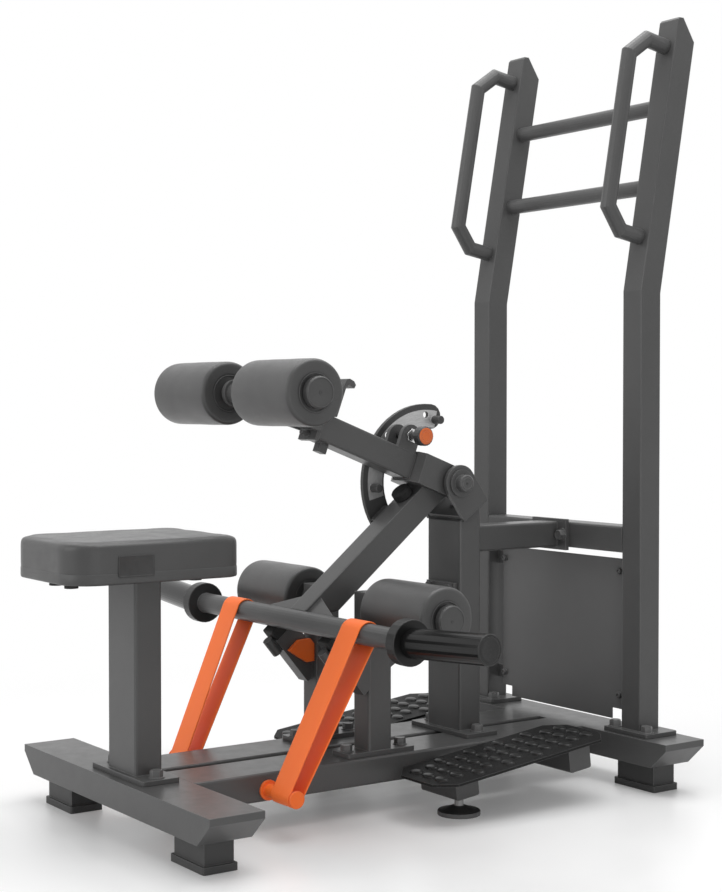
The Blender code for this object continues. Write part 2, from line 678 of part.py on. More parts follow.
lean_frame = empty("lean_frame", (0.0, UPRIGHT_FRONT, KINK_Z), -LEAN, base)
for side, sign in (("right", 1), ("left", -1)):
    x_in, x_out = UPRIGHT_X - TUBE / 2, UPRIGHT_X + TUBE / 2
    span = sorted((sign * x_in, sign * x_out))
    upright = soften(plate(f"upright_{side}", upright_outline(FLANGE_Z + BITE), span, SIDE_ON, FRAME), TUBE_EDGE)
    join(upright, [flange(f"upright_flange_{side}", UPRIGHT_FLANGE[0] / 2,
                          (UPRIGHT_Y - UPRIGHT_FLANGE[1] / 2, UPRIGHT_Y + UPRIGHT_FLANGE[1] / 2),
                          FLANGE_Z, sign * UPRIGHT_X)])
    join(upright, bolt_heads(f"upright_bolt_{side}", [
        (sign * UPRIGHT_X + s * (UPRIGHT_FLANGE[0] / 2 - UPRIGHT_BOLT_INSET),
         UPRIGHT_Y - UPRIGHT_FLANGE[1] / 2 + UPRIGHT_BOLT_INSET)
        for s in (1, -1)], FLANGE_TOP))
    tab_x = sorted((sign * (x_in + BITE), sign * (PANEL_WIDTH / 2 - TAB_COVER)))
    tab_y = (PANEL_Y + PANEL_THICK + GAP, PANEL_Y + PANEL_THICK + GAP + TAB_THICK)
    join(upright, [block(f"tab_{side}_{z}", tab_x, tab_y, (z - TAB_HEIGHT / 2, z + TAB_HEIGHT / 2), helper=True)
                   for z in PANEL_BOLT_Z])
    low, high = HANDLE_ENDS
    deep, tall = HANDLE_CORNER
    path = [(GAP, low), (HANDLE_REACH - deep, low), (HANDLE_REACH, low + tall), (HANDLE_REACH, high - tall),
            (HANDLE_REACH - deep, high), (GAP, high)]
    mitred_tube(f"handle_{side}", [(sign * UPRIGHT_X, -out, up) for out, up in path], HANDLE_RADIUS,
                FRAME, lean_frame, 18, first_face=(0.0, -1.0, 0.0))
for name, up in zip(("lower_crossbar", "upper_crossbar"), CROSSBAR_UP):
    rod(name, CROSSBAR_RADIUS, (-rear_bar_half, rear_bar_half), "x", (TUBE / 2, up), FRAME, lean_frame)

# Rear panel, with its lower corners cut away
rear_panel = block("rear_panel", (-PANEL_WIDTH / 2, PANEL_WIDTH / 2), (PANEL_Y, PANEL_Y + PANEL_THICK),
                   PANEL_Z, FRAME)
cut(rear_panel, [
    block(f"panel_notch_{sign}", sorted((sign * (PANEL_WIDTH / 2 - PANEL_NOTCH[0]), sign * PANEL_WIDTH)),
          (PANEL_Y - TUBE, PANEL_Y + TUBE), (PANEL_Z[0] - TUBE, PANEL_Z[0] + PANEL_NOTCH[1]), helper=True)
    for sign in (1, -1)])
join(rear_panel, [
    rod(f"panel_bolt_{sign}_{z}", PANEL_BOLT_RADIUS, (PANEL_Y - PANEL_THICK, PANEL_Y + PANEL_THICK / 2), "y",
        (sign * (PANEL_WIDTH / 2 - PANEL_BOLT_INSET), z), sides=10, helper=True)
    for sign in (1, -1) for z in PANEL_BOLT_Z])


# Knee posts and what they carry

knee_y = (KNEE_POST_Y - KNEE_POST[1] / 2, KNEE_POST_Y + KNEE_POST[1] / 2)
knee_half = KNEE_POST[0] / 2
# The rest arm's frame: origin at the bar's centre, Z along the arm towards the bar
rest_frame = empty("rest_frame", (0.0, BAR_Y, BAR_Z), math.pi / 2 - REST_ARM_ANGLE, base)
rest_top = -(BAR_RADIUS + GAP)
rest_arm_top = rest_top - REST_PAD - GAP
arm_x_out = KNEE_X + knee_half - REST_STEP
arm_x_in = arm_x_out - REST_ARM[0]
for side, sign in (("right", 1), ("left", -1)):
    post_x = sorted((sign * (KNEE_X - knee_half), sign * (KNEE_X + knee_half)))
    knee_post = block(f"knee_post_{side}", post_x, knee_y, (FLANGE_Z + BITE, KNEE_POST_TOP), FRAME,
                      edge=TUBE_EDGE, along="z")
    arm_x = sorted((sign * arm_x_in, sign * arm_x_out))
    arm_y = (-REST_ARM[1] / 2, REST_ARM[1] / 2)
    join(knee_post, [
        flange(f"knee_flange_{side}", KNEE_FLANGE_WIDTH / 2, KNEE_FLANGE_Y, FLANGE_Z, sign * KNEE_X),
        block(f"rest_arm_{side}", arm_x, arm_y, (rest_arm_top - REST_ARM_FOOT, rest_arm_top),
              parent=rest_frame, helper=True),
        rod(f"rest_barrel_{side}", BARREL_RADIUS, (rest_arm_top - BARREL[0], rest_arm_top + BARREL[1]), "z",
            (sign * (arm_x_in + REST_ARM[0] / 2), -REST_ARM[1] / 2 - BARREL_RADIUS + BITE),
            parent=rest_frame, sides=12, helper=True)])
    join(knee_post, bolt_heads(f"knee_bolt_{side}", [
        (sign * KNEE_X, y) for y in (KNEE_FLANGE_Y[0] + KNEE_BOLT_INSET, KNEE_FLANGE_Y[1] - KNEE_BOLT_INSET)],
        FLANGE_TOP))
    plate_x = sorted((sign * (arm_x_in - GAP), sign * (arm_x_in - GAP - PLATE)))
    bar_guide = plate(f"bar_guide_{side}", CORNER_PLATE, plate_x, SIDE_ON, ORANGE, rest_frame)
    cut(bar_guide, [block(f"post_front_{side}", post_x, (knee_y[0] - GAP, knee_y[1]),
                          (KNEE_BEAM_Z, KNEE_POST_TOP), helper=True)])
    block(f"bar_rest_{side}", arm_x, (arm_y[0] + BITE + GAP, arm_y[1]), (rest_arm_top + GAP, rest_top), RUBBER,
          rest_frame, edge=SOFT_EDGE, along="x")
    shoulder = (sign * (KNEE_X + knee_half + GAP), sign * (KNEE_ROLLER_X[0] - GAP))
    stub = (sign * (KNEE_X + knee_half + GAP), sign * (KNEE_ROLLER_X[1] + CAP_THICK / 2))
    end_cap = (sign * (KNEE_ROLLER_X[1] + GAP), sign * (KNEE_ROLLER_X[1] + GAP + CAP_THICK))
    knee_axle = rod(f"knee_axle_{side}", AXLE_RADIUS, sorted(stub), "x", (KNEE_POST_Y, KNEE_ROLLER_Z), DARK)
    join(knee_axle, [
        rod(f"knee_shoulder_{side}", KNEE_SHOULDER_RADIUS, sorted(shoulder), "x",
            (KNEE_POST_Y, KNEE_ROLLER_Z), helper=True),
        rod(f"knee_cap_{side}", CAP_RADIUS, sorted(end_cap), "x", (KNEE_POST_Y, KNEE_ROLLER_Z), sides=24,
            chamfer=SOFT_EDGE, helper=True)])

# The cross member sits between the posts, and its brace rises to the column
beam_z = (KNEE_BEAM_Z - TUBE / 2, KNEE_BEAM_Z + TUBE / 2)
beam_half = KNEE_X - knee_half - GAP
knee_beam = block("knee_crossmember", (-beam_half, beam_half), knee_y, beam_z, FRAME, edge=TUBE_EDGE, along="x")
plate_y = (column_y[0] - GAP - PLATE, column_y[0] - GAP)
rise = math.tan(KNEE_BRACE_SLOPE)
tall = TUBE / math.cos(KNEE_BRACE_SLOPE)


def brace_low(y):
    return beam_z[0] + (y - knee_y[1]) * rise


brace_ends = (knee_y[1] - BITE, plate_y[0] + BITE)
knee_brace = [(brace_ends[0], brace_low(brace_ends[0])), (brace_ends[1], brace_low(brace_ends[1])),
              (brace_ends[1], brace_low(brace_ends[1]) + tall), (brace_ends[0], brace_low(brace_ends[0]) + tall)]
plate_z = brace_low(plate_y[0]) + tall / 2
join(knee_beam, [
    plate("knee_brace", knee_brace, (-KNEE_BRACE_HALF, KNEE_BRACE_HALF), SIDE_ON, helper=True),
    block("knee_brace_plate", (-KNEE_PLATE[0] / 2, KNEE_PLATE[0] / 2), plate_y,
          (plate_z - KNEE_PLATE[1] / 2, plate_z + KNEE_PLATE[1] / 2), helper=True)])
join(knee_beam, [
    rod(f"knee_brace_bolt_{sx}_{sz}", BOLT_RADIUS, (plate_y[0] - BOLT_HEAD, plate_y[0] + BITE), "y",
        (sx * KNEE_PLATE_BOLT[0], plate_z + sz * KNEE_PLATE_BOLT[1]), sides=10, helper=True)
    for sx in (1, -1) for sz in (1, -1)])


def roller(name, span, parent, at):
    """A foam roller with a bore and soft shoulders, turned round its axle."""
    bore = AXLE_RADIUS + RUNNING
    half = (span[1] - span[0]) / 2
    edge = [(ROLLER_RADIUS - ROLLER_EDGE * (1 - math.sin(t)), half - ROLLER_EDGE * (1 - math.cos(t)))
            for t in (0.0, math.pi / 4, math.pi / 2)]
    profile = [(bore, half)] + edge + [(r, -x) for r, x in reversed(edge)] + [(bore, -half)]
    obj = turned(name, profile, (at[0] + (span[0] + span[1]) / 2, at[1], at[2]), SKIN, parent)
    obj.rotation_euler.y = math.pi / 2
    return obj


for side, sign in (("right", 1), ("left", -1)):
    roller(f"knee_roller_{side}", sorted(sign * x for x in KNEE_ROLLER_X), base, (0.0, KNEE_POST_Y, KNEE_ROLLER_Z))


# Weight lever: frames at the pivot, level and along the arm

lever_pivot = empty("lever_pivot", (0.0, PIVOT_Y, PIVOT_Z), 0.0, base)
arm_frame = empty("weight_arm_frame", (0.0, 0.0, 0.0), ARM_ANGLE, lever_pivot)
arm_bottom = ARM_RISE - TUBE / 2


def foot_cut(up):
    """How far along the arm its level foot is, at a height above the line through the pivot."""
    return (PIVOT_Z - ARM_FOOT_Z + up * math.cos(ARM_ANGLE)) / math.sin(ARM_ANGLE)


arm_outline = [(-foot_cut(arm_bottom), arm_bottom), (ARM_BACK, arm_bottom), (ARM_BACK, ARM_TOP),
               (-foot_cut(ARM_TOP), ARM_TOP)]
weight_arm = soften(plate("weight_arm", arm_outline, (-TUBE / 2, TUBE / 2), SIDE_ON, FRAME, arm_frame), TUBE_EDGE)
bar_along = (PIVOT_Y - BAR_Y) * math.cos(ARM_ANGLE) + (PIVOT_Z - BAR_Z) * math.sin(ARM_ANGLE)
wing_foot = bar_along - BAR_RADIUS
wing = [(-WING_HALF, -wing_foot - WING_TUCK), (WING_HALF, -wing_foot - WING_TUCK),
        (WING_HALF, -wing_foot + WING_RIM),
        (TUBE / 2 - BITE, WING_TALL - wing_foot), (-TUBE / 2 + BITE, WING_TALL - wing_foot),
        (-WING_HALF, -wing_foot + WING_RIM)]
join(weight_arm, [
    rod("arm_boss", ARM_BOSS_RADIUS, (-TUBE / 2 + BITE / 4, TUBE / 2 - BITE / 4), "x", (0.0, 0.0),
        parent=arm_frame, sides=28, helper=True),
    plate("arm_wing", wing, (ARM_TOP - WING_DEPTH - PLATE / 2, ARM_TOP - WING_DEPTH + PLATE / 2), FLAT,
          parent=arm_frame, helper=True)])
bar_seat = rod("bar_seat", BAR_RADIUS + GAP, (-WING_HALF - TUBE / 2, WING_HALF + TUBE / 2), "x", (BAR_Y, BAR_Z),
               sides=32, helper=True)
cut(weight_arm, [bar_seat, pivot_bore])

weight_bar = rod("weight_bar", BAR_RADIUS, (-BAR_HALF - BITE, BAR_HALF + BITE), "x",
                 (BAR_Y - PIVOT_Y, BAR_Z - PIVOT_Z), FRAME, lever_pivot, sides=24)
for side, sign in (("right", 1), ("left", -1)):
    collar = (sign * BAR_HALF, sign * (BAR_HALF + COLLAR))
    join(weight_bar, [rod(f"collar_{side}", COLLAR_RADIUS, sorted(collar), "x",
                          (BAR_Y - PIVOT_Y, BAR_Z - PIVOT_Z), parent=lever_pivot, sides=28, chamfer=FINE_EDGE,
                          helper=True)])
    start = Vector((sign * (BAR_HALF + COLLAR + GAP), BAR_Y - PIVOT_Y, BAR_Z - PIVOT_Z))
    end = Vector((sign * SLEEVE_END[0], SLEEVE_END[1] - PIVOT_Y, SLEEVE_END[2] - PIVOT_Z))
    sleeve = mitred_tube(f"weight_sleeve_{side}", [start, end], SLEEVE_RADIUS, GLOSS, lever_pivot, sides=32,
                         first_face=(sign, 0.0, 0.0))
    chamfer = sleeve.modifiers.new("end", "BEVEL")
    chamfer.width = SLEEVE_CHAMFER
    chamfer.segments = 1
    chamfer.limit_method = "ANGLE"
    chamfer.angle_limit = math.radians(89.0)


def round_pivot(radius, angle):
    """A point round the pivot, its angle from straight ahead of the seat side and upwards."""
    return (-radius * math.cos(angle), radius * math.sin(angle))


quadrant_mid = (QUADRANT_OUTER + QUADRANT_INNER) / 2
quadrant_end = (QUADRANT_OUTER - QUADRANT_INNER) / 2
sweep = QUADRANT_TO - QUADRANT_FROM
quadrant = [round_pivot(QUADRANT_OUTER, QUADRANT_FROM + sweep * i / 24) for i in range(25)]
end_middle = round_pivot(quadrant_mid, QUADRANT_TO)
end_start = math.pi - QUADRANT_TO
quadrant += arc(end_middle, quadrant_end, end_start, end_start - math.pi, 8)[1:-1]
quadrant += [round_pivot(QUADRANT_INNER, QUADRANT_TO - sweep * i / 20) for i in range(21)]
index_holes = [ring_of(round_pivot(INDEX_RADIUS, INDEX_ANGLE + i * INDEX_STEP), PLUNGER_RADIUS + RUNNING, 14)
               for i in range(INDEX_HOLES)]
index_quadrant = plate("index_quadrant", quadrant, (QUADRANT_X - PLATE, QUADRANT_X), SIDE_ON, DARK, lever_pivot,
                       index_holes)
join(index_quadrant, [
    rod(f"stop_pin_{i}", STOP_PIN_RADIUS, (QUADRANT_X - BITE, QUADRANT_X + STOP_PIN), "x",
        round_pivot(*place), parent=lever_pivot, sides=16, chamfer=FINE_EDGE, helper=True)
    for i, place in enumerate(STOP_PIN_PLACES)])
join(index_quadrant, [block("quadrant_spacer", (QUADRANT_X - BITE, -TUBE / 2 - GAP), (-SPACER_TO, -SPACER_FROM),
                            (arm_bottom + BITE, ARM_TOP - PLATE), parent=arm_frame, helper=True)])

# The rubber stop disc fills the space between the weight arm and the pad arm's hub
spread = ARM_ANGLE + PAD_ANGLE
disc_top = ((STOP_DISC_AT - STOP_DISC_RADIUS) * math.sin(spread) - HUB_HALF_HEIGHT - GAP) / math.cos(spread)
rod("stop_disc", STOP_DISC_RADIUS, (ARM_TOP + GAP, disc_top), "z", (0.0, -STOP_DISC_AT), RUBBER, arm_frame,
    sides=28, chamfer=SOFT_EDGE)


# Pad arm: its frame's -Y runs along the beam

pad_frame = empty("pad_arm_frame", (0.0, 0.0, 0.0), -PAD_ANGLE, lever_pivot)
plunger_along = INDEX_RADIUS * math.cos(INDEX_ANGLE - PAD_ANGLE)
plunger_up = INDEX_RADIUS * math.sin(INDEX_ANGLE - PAD_ANGLE)
plunger_at = (-plunger_along, plunger_up)
beam_half_width = BEAM_WIDTH / 2
pad_arm = block("pad_arm", (-beam_half_width, beam_half_width), (-BEAM_LENGTH, -BEAM_BACK - BITE),
                (-TUBE / 2, TUBE / 2), FRAME, pad_frame, edge=TUBE_EDGE, along="y")
hub_side = [(-BEAM_BACK - BITE, -HUB_HALF_HEIGHT)] + arc(
    (0.0, 0.0), HUB_HALF_HEIGHT, -math.pi / 2, math.pi / 2, 12) + [(-BEAM_BACK - BITE, HUB_HALF_HEIGHT)]
ear_in = TUBE / 2 + GAP
hub_block = block("hub_block", (-HUB_HALF_WIDTH, HUB_HALF_WIDTH), (-HUB_FRONT, -BEAM_BACK),
                  (-HUB_HALF_HEIGHT, HUB_HALF_HEIGHT), parent=pad_frame, helper=True)
hub_corner = [(HUB_HALF_WIDTH - 2 * HUB_CHAMFER, -HUB_FRONT - FINE_EDGE),
              (HUB_HALF_WIDTH + FINE_EDGE, -HUB_FRONT - FINE_EDGE),
              (HUB_HALF_WIDTH + FINE_EDGE, -HUB_FRONT + HUB_CHAMFER)]
join(pad_arm, [hub_block] + [
    plate(f"ear_{sign}", hub_side, sorted((sign * ear_in, sign * HUB_HALF_WIDTH)), SIDE_ON, parent=pad_frame,
          helper=True) for sign in (1, -1)])
cut(pad_arm, [
    plate(f"hub_corner_{sign}", [(sign * x, y) for x, y in hub_corner], (-TUBE, TUBE), FLAT, parent=pad_frame,
          helper=True) for sign in (1, -1)])
lug = [(plunger_at[0] - LUG_RADIUS, TUBE / 2 - BITE), (plunger_at[0] + LUG_RADIUS, TUBE / 2 - BITE)]
lug += arc(plunger_at, LUG_RADIUS, 0.0, math.pi, 12)
join(pad_arm, [
    plate(f"lug_{sign}", lug, sorted((sign * beam_half_width, sign * (beam_half_width - LUG_THICK))), SIDE_ON,
          parent=pad_frame, helper=True) for sign in (1, -1)])
lip_top = TUBE / 2 + LIP_HEIGHT
lip_side = [(-LIP_AT, TUBE / 2 - BITE)] + [(-LIP_AT + out, lip_top + up) for out, up in LIP_TOP]
lip_side += [(-LIP_AT - LIP_THICK, TUBE / 2 - BITE)]
join(pad_arm, [
    plate("lip", lip_side, (-LIP_HALF_WIDTH, LIP_HALF_WIDTH), SIDE_ON, parent=pad_frame, helper=True),
    block("under_block", (-BLOCK[0] / 2, BLOCK[0] / 2), (-BLOCK_AT - BLOCK[1] / 2, -BLOCK_AT + BLOCK[1] / 2),
          (-TUBE / 2 - BLOCK[2], -TUBE / 2 + BITE), parent=pad_frame, helper=True)])
plunger_bore = rod("plunger_bore", PLUNGER_RADIUS + RUNNING, (-TUBE * 2, TUBE * 2), "x", plunger_at,
                   parent=pad_frame, sides=16, helper=True)
cut(pad_arm, [pivot_bore, plunger_bore])

plunger_nut = rod("plunger_nut", NUT_RADIUS, (beam_half_width + GAP, beam_half_width + GAP + NUT_LENGTH), "x",
                  plunger_at, CHROME, pad_frame, sides=6)
cut(plunger_nut, [plunger_bore])
knob_side = [(0.0, KNOB_X[1]), (KNOB_RADIUS - SOFT_EDGE, KNOB_X[1]), (KNOB_RADIUS, KNOB_X[1] - SOFT_EDGE),
             (KNOB_RADIUS, KNOB_X[0] + KNOB_TAPER[1]), (KNOB_NECK, KNOB_X[0] + KNOB_TAPER[0]),
             (KNOB_NECK, KNOB_X[0]), (PLUNGER_RADIUS, KNOB_X[0]),
             (PLUNGER_RADIUS, QUADRANT_X + GAP + SOFT_EDGE),
             (PLUNGER_RADIUS - SOFT_EDGE, QUADRANT_X + GAP), (0.0, QUADRANT_X + GAP)]
index_plunger = turned("index_plunger", knob_side, (0.0, *plunger_at), PLASTIC, pad_frame, 20)
index_plunger.rotation_euler.y = math.pi / 2

# Clevis bracket in front of the beam, up to the roller axle
axle_at = (-PAD_AXLE_AT, PAD_AXLE_RISE)
end_y = (-BEAM_LENGTH - GAP - PLATE, -BEAM_LENGTH - GAP)
pad_bracket = block("pad_bracket", (-END_PLATE[1] / 2, END_PLATE[1] / 2), end_y,
                    (-END_PLATE[0] / 2, END_PLATE[0] / 2), FRAME, pad_frame)
clevis_low = -CLEVIS_END / 2
clevis_ring = arc(axle_at, CLEVIS_END, math.pi / 2, 3 * math.pi / 2, 12)
clevis = [(end_y[0] + BITE, END_PLATE[0] / 2 - BITE)] + clevis_ring + [(end_y[0] + BITE, clevis_low)]
join(pad_bracket, [
    plate(f"clevis_{sign}", clevis, sorted((sign * (CLEVIS_X - PLATE / 2), sign * (CLEVIS_X + PLATE / 2))),
          SIDE_ON, parent=pad_frame, helper=True) for sign in (1, -1)])
join(pad_bracket, [
    block("clevis_foot", (-CLEVIS_X - PLATE / 4, CLEVIS_X + PLATE / 4), (end_y[0] - PLATE, end_y[1] - BITE),
          (clevis_low + BITE, END_PLATE[0] / 2 - 2 * BITE), parent=pad_frame, helper=True),
    rod("clevis_tube", PAD_COLLAR_RADIUS, (-CLEVIS_X, CLEVIS_X), "x", axle_at, parent=pad_frame, helper=True),
    rod("end_stub", STUB_RADIUS, (-BEAM_LENGTH - PLATE - STUB_LENGTH, end_y[1] - BITE), "y", (0.0, -STUB_DROP),
        parent=pad_frame, sides=12, helper=True)])
cut(pad_bracket, [rod("pad_axle_bore", AXLE_RADIUS + RUNNING, (-TUBE * 2, TUBE * 2), "x", axle_at,
                      parent=pad_frame, helper=True)])

axle_half = PAD_ROLLER_X[1] + GAP + CAP_THICK
pad_axle = rod("pad_axle", AXLE_RADIUS, (-axle_half + CAP_THICK / 2, axle_half - CAP_THICK / 2), "x", axle_at,
               DARK, pad_frame)
for side, sign in (("right", 1), ("left", -1)):
    collar_x = sorted((sign * (CLEVIS_X + PLATE / 2 + GAP), sign * (PAD_ROLLER_X[0] - GAP)))
    cap_x = sorted((sign * (PAD_ROLLER_X[1] + GAP), sign * axle_half))
    join(pad_axle, [
        rod(f"pad_collar_{side}", PAD_COLLAR_RADIUS, collar_x, "x", axle_at, parent=pad_frame, helper=True),
        rod(f"pad_cap_{side}", CAP_RADIUS, cap_x, "x", axle_at, parent=pad_frame, sides=32, chamfer=SOFT_EDGE,
            helper=True)])
    roller(f"pad_roller_{side}", sorted(sign * x for x in PAD_ROLLER_X), pad_frame, (0.0, *axle_at))


# Tread plates on their outriggers, with levelling feet

tread_frame = empty("tread_frame", (0.0, TREAD_Y, TREAD_Z), TREAD_SLOPE, base)


def lens_mesh(name, x_span, y_span):
    """Rows of raised lens shapes, every second row shifted by half a pitch."""
    bm = bmesh.new()
    rows = int((y_span[1] - y_span[0] - 2 * LENS_MARGIN) / LENS_PITCH[1]) + 1
    middle_x, width = ends(x_span)
    middle_y = (y_span[0] + y_span[1]) / 2
    for row in range(rows):
        y = middle_y + (row - (rows - 1) / 2) * LENS_PITCH[1]
        count = 4 if row % 2 == 0 else 3
        if row in (0, rows - 1):
            count = 3 if count == 4 else 2
        for k in range(count):
            x = middle_x + (k - (count - 1) / 2) * LENS_PITCH[0]
            place = Matrix.Translation((x, y, LENS_HEIGHT / 2 - BITE / 4))
            shape = Matrix.Diagonal((LENS[0], LENS[1], 1.0, 1.0))
            bmesh.ops.create_cone(bm, cap_ends=True, segments=8, radius1=1.0, radius2=LENS_TOP,
                                  depth=LENS_HEIGHT + BITE / 2, matrix=place @ shape)
    return bm


for side, sign in (("right", 1), ("left", -1)):
    tread_y = (TREAD_FROM - TREAD_Y, TREAD_TO - TREAD_Y)
    cx, cy = TREAD_CORNER
    x0, x1 = TREAD_X
    outline = [(x0 + cx, tread_y[0]), (x1 - cx, tread_y[0]), (x1, tread_y[0] + cy), (x1, tread_y[1] - cy),
               (x1 - cx, tread_y[1]), (x0 + cx, tread_y[1]), (x0, tread_y[1] - cy), (x0, tread_y[0] + cy)]
    tread = plate(f"tread_plate_{side}", [(sign * x, y) for x, y in outline], (-TREAD_THICK, 0.0), FLAT, TREAD,
                  tread_frame)
    lenses = add(f"lenses_{side}", lens_mesh("lenses", sorted(sign * x for x in TREAD_X), tread_y), None,
                 tread_frame, helper=True)
    join(tread, [lenses])
    for name, y, reach in zip(("front", "rear"), OUTRIGGER_Y, OUTRIGGER_REACH):
        x_span = sorted((sign * (RAIL_OUT + GAP), sign * reach))
        top = -TREAD_THICK - GAP
        outrigger = block(f"{name}_outrigger_{side}", x_span,
                          (y - TREAD_Y - TUBE / 2, y - TREAD_Y + TUBE / 2), (top - TUBE, top), FRAME, tread_frame,
                          edge=TUBE_EDGE, along="x")
        if name == "front":
            bore = rod(f"level_bore_{side}", LEVEL_SPINDLE + RUNNING, (0.0, LEVEL_TOP + LEVEL_TRAVEL + BITE), "z",
                       (sign * LEVEL_X, LEVEL_Y), sides=16, helper=True)
            cut(outrigger, [bore])
    pad = [(0.0, LEVEL_TOP), (LEVEL_SPINDLE - FINE_EDGE, LEVEL_TOP), (LEVEL_SPINDLE, LEVEL_TOP - FINE_EDGE),
           *LEVEL_CONE, (0.0, 0.0)]
    turned(f"leveling_foot_{side}", pad, (sign * LEVEL_X, LEVEL_Y, 0.0), DARK, base, 20)


# Band pegs on the rails, and the elastic bands between the pegs and the bar

def band_outline(radius_bar, radius_peg):
    """A belt round the bar and the peg: two arcs joined by straight runs that touch them."""
    dy, dz = PEG_Y - BAR_Y, PEG_Z - BAR_Z
    distance = math.hypot(dy, dz)
    heading = math.atan2(dz, dy)
    swing = math.acos((radius_bar - radius_peg) / distance)
    bar_arc = arc((BAR_Y, BAR_Z), radius_bar, heading + swing, heading - swing + 2 * math.pi, 14)
    peg_arc = arc((PEG_Y, PEG_Z), radius_peg, heading - swing, heading + swing, 12)
    return bar_arc + peg_arc


for side, sign in (("right", 1), ("left", -1)):
    root = sign * (RAIL_OUT + GAP)
    peg = rod(f"band_peg_{side}", PEG_RADIUS, sorted((root, sign * (PEG_END - PEG_CAP[1] / 2))), "x", (PEG_Y, PEG_Z),
              ORANGE, sides=20)
    join(peg, [
        rod(f"peg_flange_{side}", PEG_FLANGE[0], sorted((root, root + sign * PEG_FLANGE[1])), "x", (PEG_Y, PEG_Z),
            sides=20, helper=True),
        rod(f"peg_cap_{side}", PEG_CAP[0], sorted((sign * (PEG_END - PEG_CAP[1]), sign * PEG_END)), "x",
            (PEG_Y, PEG_Z), sides=20, chamfer=FINE_EDGE, helper=True)])
    inner = band_outline(BAR_RADIUS + GAP, PEG_RADIUS + GAP)
    outer = band_outline(BAR_RADIUS + GAP + BAND_THICK, PEG_RADIUS + GAP + BAND_THICK)
    band = plate(f"elastic_band_{side}", outer, (-BAND_WIDTH / 2, BAND_WIDTH / 2), SIDE_ON, BAND, base, [inner])
    lean_per_z = (BAND_X_BAR - BAND_X_PEG) / (BAR_Z - PEG_Z)
    for vertex in band.data.vertices:
        vertex.co.x += sign * (BAND_X_BAR + (vertex.co.z - BAR_Z) * lean_per_z)
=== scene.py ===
"""The looks of a standing hip thrust machine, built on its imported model: materials, padding, bands,
fasteners, light and camera. Metres, +Z up, +X to the right, the seat at -Y."""

import math

import bmesh
import bpy
from mathutils import Matrix, Vector, noise


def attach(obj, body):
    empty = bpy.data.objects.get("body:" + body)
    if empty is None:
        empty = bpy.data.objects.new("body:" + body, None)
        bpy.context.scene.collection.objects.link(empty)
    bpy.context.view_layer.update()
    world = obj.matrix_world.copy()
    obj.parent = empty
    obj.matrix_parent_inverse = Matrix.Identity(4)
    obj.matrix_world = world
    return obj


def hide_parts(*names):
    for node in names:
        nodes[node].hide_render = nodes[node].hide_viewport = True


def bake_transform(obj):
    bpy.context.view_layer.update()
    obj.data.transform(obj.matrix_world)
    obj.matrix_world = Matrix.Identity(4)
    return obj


GAP = 0.0003  # left beside what a piece lies on, or how far a piece is sunk into it
SIDES = (("right", 1), ("left", -1))
RIGHT = (1.0, 0.0, 0.0)
UP = (0.0, 0.0, 1.0)
FORWARD = (0.0, -1.0, 0.0)

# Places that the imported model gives; those of two numbers are (y, z)
SHIFT = 0.028643  # how far the whole machine is moved along Y
PIVOT = (0.175 + SHIFT, 0.574)
BAR = (-0.1527 + SHIFT, 0.3353)
PEG = (-0.285 + SHIFT, 0.071)
SLEEVE_START = (0.348, -0.1527 + SHIFT, 0.3353)
SLEEVE_END = (0.527, -0.137 + SHIFT, 0.3446)
KNEE_ROLLER = (-0.0445 + SHIFT, 0.359)
HIP_ROLLER = (-0.261145 + SHIFT, 0.740944)
PLUNGER = (0.084417 + SHIFT, 0.663015)
KNOB_FACE = 0.070
PIVOT_CAP_FACE = 0.0776
COLLAR_FACE = 0.347
FLANGE_TOP = 0.1083

# Seat cushion
SEAT_Y = -0.489 + SHIFT
SEAT_SIZE = (0.244, 0.311)
SEAT_TOP = 0.503
SEAT_BOTTOM = 0.443 + GAP
SEAT_FRONT_CORNER = 0.055
SEAT_REAR_CORNER = 0.032
SEAT_LEAST_CORNER = 0.008
SEAT_CORNER_STEPS = 10
SEAT_SHRINK = 0.0004  # the pad starts smaller, because it swells
SEAT_START_ROOM = 0.0012  # and lower than the cushion's top
SEAT_FOOT = ((0.007, 0.0), (0.0025, 0.0015), (0.0005, 0.005), (0.0, 0.012))  # (inset, rise), lower edge
SEAT_EDGE = 0.0085  # the rounding of its top edge
SEAT_EDGE_STEPS = 8
SEAT_DOME = ((0.040, 0.0006), (0.075, 0.0010))  # (inset, rise), top
SEAT_VOXEL = 0.004
SEAT_PRESSURE = 4.0
SEAT_CLOTH_QUALITY = 5
SEAT_FRAMES = 20
SEAT_SWELL = 0.0018  # the furthest that a point of the top moves outward
SEAT_SIDE_SHARE = 0.2  # the share of it that the upright sides may move
SEAT_FADE = 0.02  # the height above the board over which the swelling fades in
SEAT_PEAK_ROOM = 0.001

# The vinyl round the board's edge: (inset, rise) from the cushion's bottom edge
WRAP_SECTION = ((0.0037, 0.0012), (0.0037, -0.0062), (0.0030, -0.0074), (0.0016, -0.0076), (0.0004, -0.0062),
                (0.0001, -0.0040), (0.0001, 0.0085), (0.0014, 0.0110), (0.0028, 0.0110))

# Tag on the cushion's side
TAG_HALF = (0.0325, 0.0175)
TAG_Y = -0.533 + SHIFT
TAG_Z = 0.464
TAG_THICK = 0.0012
TAG_CORNER = 0.003
TAG_CORNER_STEPS = 4
TAG_SECTION = ((0.0, -0.0030), (0.0, TAG_THICK - 0.0004), (0.0004, TAG_THICK), (0.0018, TAG_THICK),
               (0.0023, TAG_THICK - 0.0005))  # (inset, distance out)

